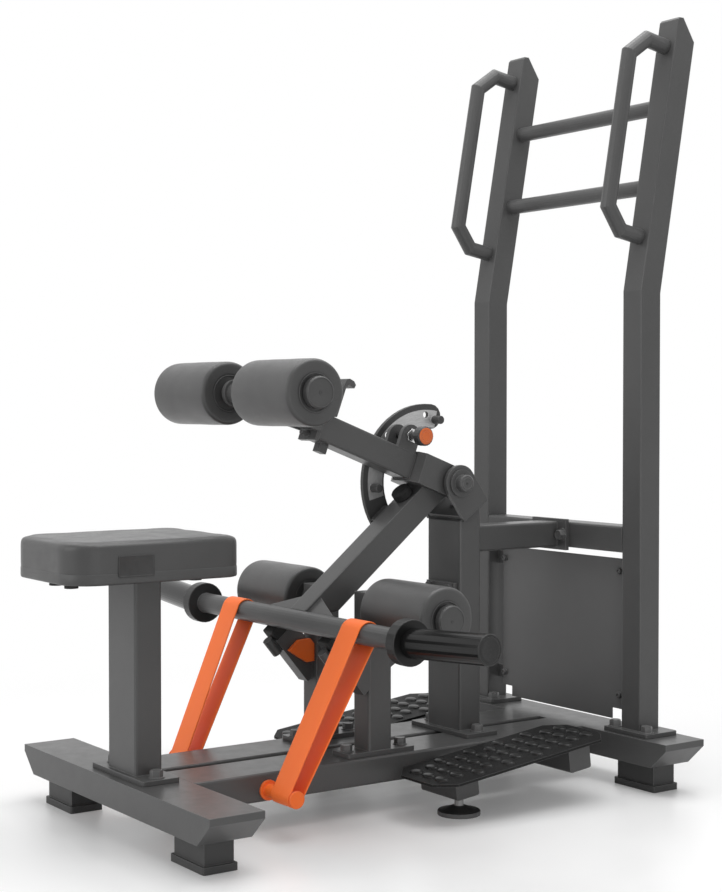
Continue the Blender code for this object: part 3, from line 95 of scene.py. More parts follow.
# Rollers
ROLLER_RADIUS = 0.0565
ROLLER_SHOULDER = 0.0068
ROLLER_SHOULDER_STEPS = 8
ROLLER_BORE = 0.0125
ROLLER_CROWN = 0.0005
ROLLER_PARTS = 12  # along the barrel
RECESS_RADIUS = 0.0315
RECESS_DEPTH = 0.0030
ROLLER_FACE = (  # (radius, depth) from the shoulder in to the bore, with a moulded rim round the recess
    (ROLLER_RADIUS - ROLLER_SHOULDER - 0.0022, 0.0),
    (RECESS_RADIUS + 0.0042, 0.0),
    (RECESS_RADIUS + 0.0028, 0.0001),
    (RECESS_RADIUS + 0.0016, 0.0008),
    (RECESS_RADIUS + 0.0007, 0.0008),
    (RECESS_RADIUS, 0.0003),
    (RECESS_RADIUS - 0.0009, 0.0006),
    (RECESS_RADIUS - 0.0014, RECESS_DEPTH),
    (ROLLER_BORE + 0.001, RECESS_DEPTH),
    (ROLLER_BORE, RECESS_DEPTH + 0.001),
)
FOAM_DEPTH = 0.00035
FOAM_ALONG = 22.0  # waves of unevenness per metre of length
FOAM_ROUND = 1.6
ROLLERS = (  # name, inner and outer face, axis, node, body, and the body that carries the cap
    ("knee", (0.120, 0.300), KNEE_ROLLER, "knee_roller", "knee_pad", "base_frame"),
    ("hip", (0.047, 0.230), HIP_ROLLER, "pad_roller", "hip_roller", "hip_pad_arm"),
)

# Raised details on end caps: the radii of a ring or a dot from its foot over its top
CAP_RADIUS = 0.027
CAP_FACE = 0.0143  # from a roller's face to its cap's face
CAP_RING = (CAP_RADIUS - 0.0016, CAP_RADIUS - 0.0022, CAP_RADIUS - 0.0034, CAP_RADIUS - 0.0040)
CAP_DOT = (0.0034, 0.0030, 0.0012, 0.0006)
CAP_LIFT = 0.0007
PIVOT_RING = (0.0118, 0.0112, 0.0096, 0.0090)
PIVOT_DOT = (0.0034, 0.0031, 0.0014, 0.0008)
PIVOT_LIFT = 0.0006

# Sleeve plug and knob disc: (radius, rise) from the face that carries them
PLUG_RADIUS = 0.0207
PLUG_SECTION = ((PLUG_RADIUS, -0.0006), (PLUG_RADIUS, 0.0002), (PLUG_RADIUS - 0.0005, 0.0006),
                (PLUG_RADIUS - 0.0040, 0.0006), (PLUG_RADIUS - 0.0045, 0.0003), (0.0008, 0.0003))
KNOB_SECTION = ((0.0152, -0.0005), (0.0152, 0.0006), (0.0147, 0.0010), (0.0106, 0.0010), (0.0102, 0.0006),
                (0.0092, 0.0006), (0.0088, 0.0010), (0.0020, 0.0012), (0.0006, 0.0012))

# Bands
BAR_RADIUS = 0.019
PEG_RADIUS = 0.0115
BAND_WIDTH = 0.054
BAND_THICK = 0.003
BAND_X_BAR = 0.1975
BAND_X_PEG = 0.1765
BAND_ARC_STEPS = 22
BAND_RUN_PARTS = 26
BAND_ACROSS_PARTS = 10
BAND_CORNER_STEPS = 3
BAND_ROUNDING = 0.9  # of half its thickness

# Bolts; places across are from the middle plane
HEX_RADIUS = 0.0112
HEX_HEIGHT = 0.0128
HEX_SECTION = ((HEX_HEIGHT * 0.82, 1.0, 1.0), (HEX_HEIGHT, 0.86, 0.99), (HEX_HEIGHT, 0.70, 0.80),
               (HEX_HEIGHT - 0.0006, 0.62, 0.72))  # (rise, share at the corners, share at the flats)
WASHER_RADIUS = 0.0135
WASHER_THICK = 0.0016
WASHER_SECTION = ((WASHER_RADIUS, -GAP), (WASHER_RADIUS, WASHER_THICK - 0.0004),
                  (WASHER_RADIUS - 0.0005, WASHER_THICK))
BUTTON_RADIUS = 0.0065
BUTTON_HEIGHT = 0.0036
BUTTON_SECTION = ((1.0, -GAP), (1.0, 0.25 * BUTTON_HEIGHT), (0.93, 0.6 * BUTTON_HEIGHT),
                  (0.78, 0.87 * BUTTON_HEIGHT), (0.55, BUTTON_HEIGHT), (0.50, BUTTON_HEIGHT),
                  (0.45, 0.45 * BUTTON_HEIGHT))  # (share of the radius, rise)
SOCKET_SHARE = 0.5  # of a button head's radius, where its hexagonal socket starts
SMALL_BOLT = 0.96
SEAT_BOLT = (0.076, -0.4745 + SHIFT)
COLUMN_BOLT = (0.071, 0.204 + SHIFT)
BRACE_BOLT = (0.040, 0.4427 + SHIFT, 0.465)
KNEE_BOLT_X = 0.083
KNEE_BOLT_YS = (-0.101 + SHIFT, 0.016 + SHIFT)
UPRIGHT_BOLT_XS = (0.182, 0.266)
UPRIGHT_BOLT_Y = 0.452 + SHIFT
PANEL_BOLT = (0.171, 0.4705 + SHIFT)
PANEL_BOLT_ZS = (0.164, 0.402)
BOLT_SIDES = 24  # points round a washer or a button head

# Tread plates
TREAD_AT = (0.055 + SHIFT, 0.085)
TREAD_SLOPE = math.atan(0.12)
TREAD_X = (0.130, 0.290)
TREAD_SPAN = (-0.097, 0.292)  # along the plate, from the point it is tilted about
LENS = (0.0156, 0.0099)
LENS_HEIGHT = 0.0043
LENS_SHARES = (1.04, 1.0, 0.93, 0.82, 0.66, 0.42, 0.15)  # of its size, from its sunk foot to its top
LENS_PITCH = (0.036, 0.0335)
LENS_MARGIN = 0.012
LENS_COUNTS = (4, 3)  # in even and in odd rows; the first and the last row have one less

# Index quadrant, round the pivot
STEEL_BAND = (0.103, 0.1365)
STEEL_FROM = math.radians(-14.0)
STEEL_TO = math.radians(101.0)
QUADRANT_FACE = -0.050

# Floor and light
FLOOR_SIZE = 30.0
FLOOR_Z = -0.0002
FLOOR_LIFT = 0.13
FLOOR_FADE = (0.75, 1.8)  # from the middle, where the floor starts and ends to turn white
WHITE = (1.0, 1.0, 1.0, 1.0)
WORLD_STRENGTH = 0.44
SOFTBOXES = (  # name, place, aim, size, watts
    ("overhead_softbox", (0.1, 0.4, 3.3), (0.0, 0.0, 0.5), (3.2, 3.2), 96.0),
    ("front_softbox", (-0.5, -4.2, 1.9), (0.0, 0.0, 0.5), (3.4, 2.6), 57.0),
    ("low_side_softbox", (2.7, -0.5, 0.35), (0.0, -0.1, 0.15), (1.4, 0.6), 7.0),
)

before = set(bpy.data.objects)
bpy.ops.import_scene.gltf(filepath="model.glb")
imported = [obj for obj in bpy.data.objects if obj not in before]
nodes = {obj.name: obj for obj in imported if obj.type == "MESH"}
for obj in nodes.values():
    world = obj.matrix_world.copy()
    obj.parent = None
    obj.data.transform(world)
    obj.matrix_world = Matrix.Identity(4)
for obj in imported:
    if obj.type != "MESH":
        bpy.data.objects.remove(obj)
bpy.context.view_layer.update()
scene = bpy.context.scene


def tone(red, green=None, blue=None):
    """A colour from screen values of 0 to 255; one value is a grey."""
    values = (red, red if green is None else green, red if blue is None else blue)
    linear = [v / 3294.6 if v <= 10.3 else ((v / 255 + 0.055) / 1.055) ** 2.4 for v in values]
    return (*linear, 1.0)


# Materials

class Graph:
    """One material's nodes, each added and linked in a line."""

    def __init__(self, name):
        self.material = bpy.data.materials.new(name)
        self.material.use_nodes = True
        self.tree = self.material.node_tree
        self.shader = self.tree.nodes["Principled BSDF"]
        self.place = self.node("TexCoord").outputs["Object"]

    def node(self, kind, inputs=None, **settings):
        made = self.tree.nodes.new("ShaderNode" + kind)
        for key, value in settings.items():
            setattr(made, key, value)
        self.feed(made, inputs or {})
        return made

    def feed(self, made, inputs):
        for key, value in inputs.items():
            if isinstance(value, bpy.types.NodeSocket):
                self.tree.links.new(value, made.inputs[key])
            else:
                made.inputs[key].default_value = value

    def colour(self):
        """What feeds the shader's colour so far."""
        return self.shader.inputs["Base Color"].links[0].from_socket

    def noise(self, scale, detail=2.0, roughness=0.5, place=None):
        made = self.node("TexNoise", {"Vector": place or self.place, "Scale": scale, "Detail": detail,
                                      "Roughness": roughness})
        return made.outputs["Fac"]

    def stretched(self, x, y, z):
        """The object's coordinates scaled along each axis, for marks that run one way."""
        return self.node("Mapping", {"Vector": self.place, "Scale": (x, y, z)}).outputs["Vector"]

    def split(self, vector=None):
        """The three parts of a vector, or else of the place in the piece's own coordinates."""
        return self.node("SeparateXYZ", {"Vector": vector or self.place}).outputs

    def remap(self, value, low, high, to_low=0.0, to_high=1.0, smooth=False):
        made = self.node("MapRange", {"Value": value, "From Min": low, "From Max": high, "To Min": to_low,
                                      "To Max": to_high}, clamp=True)
        if smooth:
            made.interpolation_type = "SMOOTHSTEP"
        return made.outputs["Result"]

    def spread(self, field, low=0.0, high=1.0):
        """A noise without its rare ends, spread from one value to another."""
        return self.remap(field, 0.3, 0.7, low, high)

    def step(self, value, limit, soft, below=0.0, above=1.0):
        """One value below a limit and another above it, with a soft border."""
        return self.remap(value, limit - soft, limit + soft, below, above)

    def mix(self, share, first, second):
        made = self.node("Mix", data_type="RGBA")
        self.feed(made, {0: share, 6: first, 7: second})
        return made.outputs[2]

    def math(self, operation, first, second=0.0):
        return self.node("Math", {0: first, 1: second}, operation=operation).outputs[0]

    def length(self, first, second):
        """The length of a vector with these two parts."""
        squares = self.math("ADD", self.math("MULTIPLY", first, first), self.math("MULTIPLY", second, second))
        return self.math("SQRT", squares)

    def edges(self, radius):
        """Rounded shading normals at the edges, and a mask of where they are."""
        rounded = self.node("Bevel", {"Radius": radius}, samples=6).outputs["Normal"]
        flat = self.node("NewGeometry").outputs["Normal"]
        facing = self.node("VectorMath", {0: rounded, 1: flat}, operation="DOT_PRODUCT").outputs["Value"]
        return rounded, self.remap(facing, 0.995, 0.85)

    def bump(self, height, depth, strength=1.0, normal=None):
        inputs = {"Height": height, "Distance": depth, "Strength": strength}
        if normal:
            inputs["Normal"] = normal
        return self.node("Bump", inputs).outputs["Normal"]


def powder_coat(name, dark, light, roughness, edge_radius=0.0016, edge_tone=0.35, specular=0.28):
    """Powder-coated steel: a faint orange peel, soft clouds in its tone, and lighter edges that are partly
    rubbed wear and partly painted highlight.
    """
    g = Graph(name)
    clouds = g.spread(g.noise(7.0, 4.0, 0.6))
    specks = g.remap(g.noise(2600.0, 1.0), 0.45, 0.75)
    rounded, wear_and_painted_highlight = g.edges(edge_radius)
    body = g.mix(clouds, dark, light)
    body = g.mix(g.math("MULTIPLY", specks, 0.18), body, tone(150))
    # Lighter edges: partly rubbed wear, partly a painted highlight.
    rub_and_painted_highlight = g.math("MULTIPLY", wear_and_painted_highlight, g.remap(g.noise(60.0, 3.0), 0.35, 0.7, 0.3, edge_tone))
    peel = g.bump(g.noise(650.0, 2.0), 0.00012, 0.55, rounded)
    g.feed(g.shader, {"Base Color": g.mix(rub_and_painted_highlight, body, tone(165)),
                      "Roughness": g.spread(g.noise(45.0, 4.0), roughness - 0.03, roughness + 0.03),
                      "Specular IOR Level": specular, "Normal": peel})
    return g


def padding(name, dark, light, roughness, grain):
    """A stretched vinyl skin: fine creased grain, with a soft sheen."""
    g = Graph(name)
    clouds = g.spread(g.noise(9.0, 4.0, 0.6))
    cells = g.node("TexVoronoi", {"Vector": g.place, "Scale": grain, "Randomness": 0.9},
                   feature="DISTANCE_TO_EDGE").outputs["Distance"]
    creases = g.remap(cells, 0.0, 0.25, smooth=True)
    skin = g.bump(g.noise(26.0, 3.0), 0.0006, 0.12)
    skin = g.bump(creases, 0.00012, 0.5, skin)
    body = g.mix(clouds, dark, light)
    # Darker in the grain's creases: painted shade.
    body = g.mix(g.remap(creases, 0.0, 1.0, 0.25, 0.0), body, tone(40))
    g.feed(g.shader, {"Base Color": body, "Normal": skin, "Sheen Weight": 0.06, "Sheen Roughness": 0.5,
                      "Specular IOR Level": 0.45,
                      "Roughness": g.spread(g.noise(30.0, 3.0), roughness - 0.04, roughness + 0.05)})
    return g


def rubber(name, dark, light, roughness=0.7):
    g = Graph(name)
    rounded, wear_and_painted_highlight = g.edges(0.001)
    clouds = g.spread(g.noise(30.0, 4.0))
    body = g.mix(clouds, dark, light)
    # Lighter edges: partly wear, partly a painted highlight.
    g.feed(g.shader, {"Base Color": g.mix(g.math("MULTIPLY", wear_and_painted_highlight, 0.25), body, tone(95)),
                      "Roughness": g.spread(g.noise(90.0), roughness - 0.08, roughness + 0.08),
                      "Normal": g.bump(g.noise(900.0, 3.0), 0.00015, 0.5, rounded)})
    return g


def elastic(name):
    """Moulded elastic band: fine ribs along it, lighter sides that are partly rubbed wear and partly painted
    highlight, a chalky bloom.
    """
    g = Graph(name)
    ribs = g.math("SINE", g.math("MULTIPLY", g.split()["X"], 2600.0))
    bloom = g.remap(g.noise(38.0, 5.0, 0.65), 0.35, 0.75)
    streaks = g.spread(g.noise(1.0, 3.0, place=g.stretched(260.0, 18.0, 18.0)))
    rounded, wear_and_painted_highlight = g.edges(0.0012)
    body = g.mix(streaks, tone(255, 115, 43), tone(255, 120, 48))
    body = g.mix(g.math("MULTIPLY", bloom, 0.22), body, tone(255, 136, 72))
    normal = g.bump(ribs, 0.00005, 0.2, rounded)
    # Lighter sides: partly rubbed wear, partly a painted highlight.
    g.feed(g.shader, {"Base Color": g.mix(g.math("MULTIPLY", wear_and_painted_highlight, 0.25), body, tone(255, 140, 80)),
                      "Roughness": g.remap(bloom, 0.0, 1.0, 0.48, 0.62),
                      "Normal": g.bump(g.noise(700.0, 2.0), 0.0001, 0.4, normal)})
    return g


def polished(name, colour, roughness):
    """Bare steel with fine brush marks along X."""
    g = Graph(name)
    marks = g.noise(1.0, 4.0, 0.7, g.stretched(40.0, 900.0, 900.0))
    rounded, wear_and_painted_highlight = g.edges(0.0008)
    body = g.mix(g.spread(marks), colour, tone(225))
    # Near-white edges: partly wear, partly a painted highlight.
    g.feed(g.shader, {"Base Color": g.mix(wear_and_painted_highlight, body, tone(245)), "Metallic": 1.0,
                      "Roughness": g.spread(marks, roughness, roughness + 0.12),
                      "Normal": g.bump(marks, 0.00004, 0.4, rounded)})
    return g


def between(g, value, low, high, soft):
    """1 where the value lies between two limits, with soft borders."""
    return g.math("MULTIPLY", g.step(value, low, soft), g.step(value, high, soft, 1.0, 0.0))


def quadrant_paint():
    """The dark quadrant, its bearing face bare brushed steel between two painted rims."""
    g = powder_coat("quadrant_coat", tone(62), tone(70), 0.42)
    place = g.split()
    forward = g.math("SUBTRACT", PIVOT[0], place["Y"])
    up = g.math("SUBTRACT", place["Z"], PIVOT[1])
    radius = g.length(forward, up)
    angle = g.math("ARCTAN2", up, forward)
    ring = between(g, radius, STEEL_BAND[0], STEEL_BAND[1], 0.0004)
    sector = between(g, angle, STEEL_FROM, STEEL_TO, 0.006)
    face = between(g, place["X"], QUADRANT_FACE - 0.0005, QUADRANT_FACE + 0.0008, 0.0001)
    bare = g.math("MULTIPLY", g.math("MULTIPLY", ring, sector), face)
    swirl = g.node("CombineXYZ", {"X": g.math("MULTIPLY", radius, 900.0),
                                  "Y": g.math("MULTIPLY", angle, 6.0)})
    marks = g.noise(1.0, 4.0, 0.7, swirl.outputs["Vector"])
    steel = g.mix(g.spread(marks), tone(172), tone(205))
    g.feed(g.shader, {"Base Color": g.mix(bare, g.colour(), steel),
                      "Metallic": g.math("MULTIPLY", bare, 0.6)})
    return g


def bar_coat():
    """The bar's coat: darker on its collars, and matt black on their outer faces."""
    g = powder_coat("bar_coat", tone(70), tone(77), 0.34)
    place = g.split()
    normal = g.split(g.node("TexCoord").outputs["Normal"])["X"]
    outward = g.remap(g.math("ABSOLUTE", normal), 0.7, 0.9)
    past = g.step(g.math("ABSOLUTE", place["X"]), COLLAR_FACE, 0.0005)
    face = g.math("MULTIPLY", outward, past)
    forward = g.math("SUBTRACT", place["Y"], BAR[0])
    up = g.math("SUBTRACT", place["Z"], BAR[1])
    collar = g.step(g.length(forward, up), BAR_RADIUS + 0.0011, 0.0003)
    coat = g.mix(collar, g.colour(), tone(46))
    g.feed(g.shader, {"Base Color": g.mix(face, coat, tone(10))})
    return g


def sleeve_coat():
    """Hard gloss black with fine turning marks round it, and a matt end."""
    g = Graph("sleeve_gloss")
    outer = g.math("ABSOLUTE", g.split()["X"])
    turning = g.noise(1.0, 3.0, 0.6, g.stretched(1500.0, 12.0, 12.0))
    rounded, wear_and_painted_highlight = g.edges(0.0012)
    end = g.step(outer, SLEEVE_END[0] - 0.0006, 0.0002)
    body = g.mix(g.spread(turning), tone(14), tone(20))
    body = g.mix(end, body, tone(34))
    # Lighter edges: partly wear, partly a painted highlight on the chamfer.
    g.feed(g.shader, {"Base Color": g.mix(g.math("MULTIPLY", wear_and_painted_highlight, 0.35), body, tone(120)),
                      "Roughness": g.remap(end, 0.0, 1.0, 0.2, 0.5), "Specular IOR Level": 0.32,
                      "Normal": g.bump(turning, 0.00003, 0.3, rounded)})
    return g


def levelling_coat():
    """Black rubber cone over a painted steel disc, on a bare spindle."""
    disc_top, cone_top = 0.0075, 0.016
    g = rubber("levelling_rubber", tone(26), tone(34), 0.6)
    height = g.split()["Z"]
    disc = g.step(height, disc_top, 0.0003, 1.0, 0.0)
    spindle = g.step(height, cone_top, 0.0002)
    body = g.mix(disc, g.colour(), tone(92))
    g.feed(g.shader, {"Base Color": g.mix(spindle, body, tone(150)),
                      "Metallic": g.math("MULTIPLY", spindle, 0.8)})
    return g


def plastic(name, dark, light, roughness=0.35):
    g = Graph(name)
    rounded, wear_and_painted_highlight = g.edges(0.0008)
    body = g.mix(g.spread(g.noise(40.0, 3.0)), dark, light)
    # Lighter edges: partly wear, partly a painted highlight.
    g.feed(g.shader, {"Base Color": g.mix(g.math("MULTIPLY", wear_and_painted_highlight, 0.3), body, tone(120)),
                      "Roughness": g.spread(g.noise(300.0, 2.0), roughness - 0.05, roughness + 0.08),
                      "Normal": g.bump(g.noise(1400.0), 0.00006, 0.4, rounded)})
    return g


PAINT = powder_coat("frame_powder_coat", tone(73), tone(78), 0.33).material
PANEL_PAINT = powder_coat("panel_powder_coat", tone(96), tone(101), 0.4).material
DARK_PAINT = powder_coat("dark_powder_coat", tone(52), tone(59), 0.46).material
TREAD = powder_coat("tread_powder_coat", tone(10), tone(15), 0.55, edge_tone=0.3, specular=0.08).material
# The lenses are lighter than the plate they are pressed in: a painted highlight on their tops.
LENS_COAT = powder_coat("tread_lens_coat", tone(16), tone(21), 0.32, edge_tone=0.3, specular=0.22).material
ORANGE = powder_coat("orange_powder_coat", tone(255, 108, 28), tone(255, 116, 34), 0.4,
                     edge_tone=0.15).material
BAR_COAT = bar_coat().material
QUADRANT_COAT = quadrant_paint().material
SLEEVE_COAT = sleeve_coat().material
LEVELLING_COAT = levelling_coat().material
SEAT_VINYL = padding("seat_vinyl_skin", tone(63), tone(68), 0.36, 950.0).material
ROLLER_SKIN = padding("roller_foam_skin", tone(64), tone(69), 0.34, 1300.0).material
RUBBER = rubber("black_rubber_grain", tone(14), tone(22)).material
DISC_RUBBER = rubber("stop_disc_rubber", tone(4), tone(8), 0.85).material
BAND = elastic("elastic_band_rubber").material
CHROME = polished("bright_chrome", tone(205), 0.1).material
BOLT_STEEL = powder_coat("bolt_black_zinc", tone(78), tone(92), 0.34, edge_radius=0.0008,
                         edge_tone=0.5).material
PLASTIC = plastic("black_knob_plastic", tone(50), tone(58)).material
ORANGE_PLASTIC = plastic("orange_knob_plastic", tone(205, 96, 36), tone(214, 104, 42)).material
CAP_PLASTIC = plastic("cap_plastic", tone(58), tone(64), 0.42).material
PLUG = plastic("sleeve_plug_plastic", tone(7), tone(10), 0.6).material
TAG = rubber("tag_rubber", tone(42), tone(50), 0.55).material

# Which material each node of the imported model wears; the rest wear the frame's paint
WEARS = {
    PANEL_PAINT: ["rear_panel"],
    DARK_PAINT: ["front_foot_right", "front_foot_left", "rear_foot_right", "rear_foot_left"],
    CAP_PLASTIC: ["knee_axle_right", "knee_axle_left", "pad_axle"],
    RUBBER: ["bar_rest_right", "bar_rest_left", "seat_board"],
    DISC_RUBBER: ["stop_disc"],
    TREAD: ["tread_plate_right", "tread_plate_left"],
    ORANGE: ["bar_guide_right", "bar_guide_left", "band_peg_right", "band_peg_left"],
    BAR_COAT: ["weight_bar"],
    QUADRANT_COAT: ["index_quadrant"],
    SLEEVE_COAT: ["weight_sleeve_right", "weight_sleeve_left"],
    LEVELLING_COAT: ["leveling_foot_right", "leveling_foot_left"],
    CHROME: ["plunger_nut"],
    PLASTIC: ["index_plunger"],
    SEAT_VINYL: ["seat_cushion"],
    ROLLER_SKIN: ["knee_roller_right", "knee_roller_left", "pad_roller_right", "pad_roller_left"],
    BAND: ["elastic_band_right", "elastic_band_left"],
}
worn_by = {name: material for material, names in WEARS.items() for name in names}
for name, node in nodes.items():
    node.data.materials.clear()
    node.data.materials.append(worn_by.get(name, PAINT))


# Building blocks for pieces

def piece(name, bm, material, body=None, sharp=40.0):
    """An object from a finished bmesh, in place, with smooth shading between its sharp edges."""
    bmesh.ops.recalc_face_normals(bm, faces=bm.faces)
    mesh = bpy.data.meshes.new(name)
    bm.to_mesh(mesh)
    bm.free()
    obj = bpy.data.objects.new(name, mesh)
    scene.collection.objects.link(obj)
    mesh.materials.append(material)
    mesh.shade_smooth()
    mesh.set_sharp_from_angle(angle=math.radians(sharp))
    if body:
        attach(obj, body)
    return obj


def skin_rings(bm, rings, closed=False):
    """Faces between rings of vertices that have the same count."""
    count = len(rings[0])
    pairs = list(zip(rings, rings[1:])) + ([(rings[-1], rings[0])] if closed else [])
    for low, high in pairs:
        for i in range(count):
            nxt = (i + 1) % count
            bm.faces.new((low[i], low[nxt], high[nxt], high[i]))


def skin_and_cap(bm, rings):
    """Faces between rings, and one across the first and the last of them."""
    skin_rings(bm, rings)
    bm.faces.new(rings[0][::-1])
    bm.faces.new(rings[-1])


def turned(bm, profile, centre, sides=96, closed=False, uneven=None):
    """A profile of (radius, x) turned round an axis along X through centre, a (y, z) point."""
    rings = []
    for radius, x in profile:
        ring = []
        for k in range(sides):
            angle = 2 * math.pi * k / sides
            real = radius + (uneven(x, angle, radius) if uneven else 0.0)
            y = centre[0] + real * math.cos(angle)
            z = centre[1] + real * math.sin(angle)
            ring.append(bm.verts.new((x, y, z)))
        rings.append(ring)
    if closed:
        skin_rings(bm, rings, closed=True)
    else:
        skin_and_cap(bm, rings)


def level_ring(bm, reaches, height):
    """A level ring of points round the Z axis, evenly turned, each with its own distance from it."""
    ring = []
    for k, reach in enumerate(reaches):
        angle = 2 * math.pi * k / len(reaches)
        ring.append(bm.verts.new((reach * math.cos(angle), reach * math.sin(angle), height)))
    return ring


def rounded_corners(half, radii, steps):
    """The points of a rectangle's rounded corners from its middle, one list a corner, in turn."""
    corners = []
    for radius, (sx, sy, turn) in zip(radii, ((1, 1, 0.0), (-1, 1, 0.5), (-1, -1, 1.0), (1, -1, 1.5))):
        points = []
        for i in range(steps + 1):
            angle = (turn + 0.5 * i / steps) * math.pi
            points.append((sx * (half[0] - radius) + radius * math.cos(angle),
                           sy * (half[1] - radius) + radius * math.sin(angle)))
        corners.append(points)
    return corners


def stand(bm, at, normal, built_along=UP):
    """Turns what was built along one direction to a normal, and moves it to its place."""
    turn = Vector(built_along).rotation_difference(Vector(normal)).to_matrix().to_4x4()
    bm.transform(Matrix.Translation(at) @ turn)


def raised_ring(radii, face, lift, centre, sides):
    """A low ring on a face, from four radii: outer foot, the two edges of its top, inner foot."""
    bm = bmesh.new()
    rises = (-lift, lift, lift, -lift)
    turned(bm, [(radius, face + rise) for radius, rise in zip(radii, rises)], centre, sides, closed=True)
    return bm


def raised_dot(radii, face, lift, centre, dimple):
    """A low dot on a face, from four radii: foot, the two edges of its top, the dimple in its middle."""
    bm = bmesh.new()
    rises = (-lift, lift, lift, dimple)
    turned(bm, [(radius, face + rise) for radius, rise in zip(radii, rises)], centre, 24)
    return bm


# Rollers

def quarter(radius, x, bend, outward):
    """A rounded shoulder from a cylinder's side to its face: (radius, x) points; outward is 1 or -1."""
    turns = [math.pi / 2 * i / ROLLER_SHOULDER_STEPS for i in range(ROLLER_SHOULDER_STEPS + 1)]
    return [(radius - bend * (1 - math.cos(t)), x - outward * bend * (1 - math.sin(t))) for t in turns]


def foam(seed):
    """A soft unevenness of foam: fractions of a millimetre, over centimetres."""
    def uneven(x, angle, radius):
        if radius < RECESS_RADIUS + 0.004:
            return 0.0
        at = Vector((x * FOAM_ALONG + seed, FOAM_ROUND * math.cos(angle), FOAM_ROUND * math.sin(angle)))
        return FOAM_DEPTH * noise.noise(at)
    return uneven


def roller_face(x, sign):
    """One face of a roller, from its shoulder in to the bore."""
    return [(radius, x - sign * depth) for radius, depth in ROLLER_FACE]


def roller_profile(inner, outer):
    """The section of a foam roller, from the inner face's bore to the outer face's bore."""
    middle, half = (inner + outer) / 2, abs(outer - inner) / 2
    way = 1 if outer > inner else -1
    far = quarter(ROLLER_RADIUS - ROLLER_CROWN, inner, ROLLER_SHOULDER, -way)
    near = quarter(ROLLER_RADIUS - ROLLER_CROWN, outer, ROLLER_SHOULDER, way)
    barrel = []
    for share in (0.012, *(i / ROLLER_PARTS for i in range(1, ROLLER_PARTS)), 0.988):
        x = inner + way * ROLLER_SHOULDER + share * (outer - inner - 2 * way * ROLLER_SHOULDER)
        crown = ROLLER_CROWN * (1 - ((x - middle) / half) ** 4)
        barrel.append((ROLLER_RADIUS - ROLLER_CROWN + crown, x))
    return roller_face(inner, -way)[::-1] + far[::-1] + barrel + near + roller_face(outer, way)


def end_cap_detail(name, x, sign, centre, body):
    """A thin rim and a shallow dimpled centre on a roller's end cap."""
    lift = sign * CAP_LIFT
    rim = raised_ring(CAP_RING, x, lift, centre, 64)
    piece(f"{name}_rim", rim, CAP_PLASTIC, body)
    dot = raised_dot(CAP_DOT, x, lift, centre, -0.5 * lift)
    piece(f"{name}_centre", dot, PLASTIC, body)


for side, sign in SIDES:
    for kind, span, centre, cad, body, cap_body in ROLLERS:
        seed = 3.7 * sign + span[1] * 10  # another unevenness for each roller
        bm = bmesh.new()
        turned(bm, roller_profile(sign * span[0], sign * span[1]), centre, closed=True, uneven=foam(seed))
        made = piece(f"{kind}_foam_{side}", bm, ROLLER_SKIN, f"{body}_{side}")
        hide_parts(f"{cad}_{side}")
        end_cap_detail(f"{kind}_cap_{side}", sign * (span[1] + CAP_FACE), sign, centre, cap_body)


# Seat cushion

def seat_ring(bm, inset, z):
    """One level of the cushion: a rectangle with wide corners in front and narrower ones behind."""
    half = (SEAT_SIZE[0] / 2 - inset, SEAT_SIZE[1] / 2 - inset)
    rear = max(SEAT_REAR_CORNER - inset, SEAT_LEAST_CORNER)
    front = max(SEAT_FRONT_CORNER - inset, SEAT_LEAST_CORNER)
    corners = rounded_corners(half, (rear, rear, front, front), SEAT_CORNER_STEPS)
    return [bm.verts.new((x, SEAT_Y + y, z)) for points in corners for x, y in points]


def seat_base():
    """The cushion before it swells: upright sides, a wide rounded top edge and a tucked lower edge."""
    bm = bmesh.new()
    top = SEAT_TOP - SEAT_BOTTOM - SEAT_START_ROOM
    levels = list(SEAT_FOOT)
    for i in range(SEAT_EDGE_STEPS + 1):
        turn = math.pi / 2 * i / SEAT_EDGE_STEPS
        levels.append((SEAT_EDGE * (1 - math.cos(turn)), top - SEAT_EDGE * (1 - math.sin(turn))))
    levels += [(inset, top + rise) for inset, rise in SEAT_DOME]
    skin_and_cap(bm, [seat_ring(bm, SEAT_SHRINK + inset, SEAT_BOTTOM + rise) for inset, rise in levels])
    return piece("seat_pad", bm, SEAT_VINYL)


def freeze(obj):
    """Applies every modifier by taking over the evaluated mesh."""
    graph = bpy.context.evaluated_depsgraph_get()
    mesh = bpy.data.meshes.new_from_object(obj.evaluated_get(graph))
    obj.modifiers.clear()
    obj.data = mesh


def swell(obj):
    """Inflates a closed pad as cloth under pressure, and keeps each point's outward part, up to a limit."""
    remesh = obj.modifiers.new("remesh", "REMESH")
    remesh.mode = "VOXEL"
    remesh.voxel_size = SEAT_VOXEL
    freeze(obj)
    rest = [(v.co.copy(), v.normal.copy()) for v in obj.data.vertices]
    cloth = obj.modifiers.new("cloth", "CLOTH")
    cloth.settings.use_pressure = True
    cloth.settings.uniform_pressure_force = SEAT_PRESSURE
    cloth.settings.effector_weights.gravity = 0.0
    cloth.settings.quality = SEAT_CLOTH_QUALITY
    cloth.point_cache.frame_start = 1
    cloth.point_cache.frame_end = SEAT_FRAMES
    for step in range(1, SEAT_FRAMES + 1):
        scene.frame_set(step)
    freeze(obj)
    scene.frame_set(1)
    for vertex, (start, normal) in zip(obj.data.vertices, rest):
        outward = max(0.0, (vertex.co - start).dot(normal))
        fade = min(1.0, max(0.0, (start.z - SEAT_BOTTOM) / SEAT_FADE))
        limit = SEAT_SWELL * fade * max(SEAT_SIDE_SHARE, normal.z)
        vertex.co = start + normal * min(outward, limit)
        vertex.co.z = max(vertex.co.z, SEAT_BOTTOM)
        vertex.co.z = min(vertex.co.z, SEAT_TOP + SEAT_PEAK_ROOM)


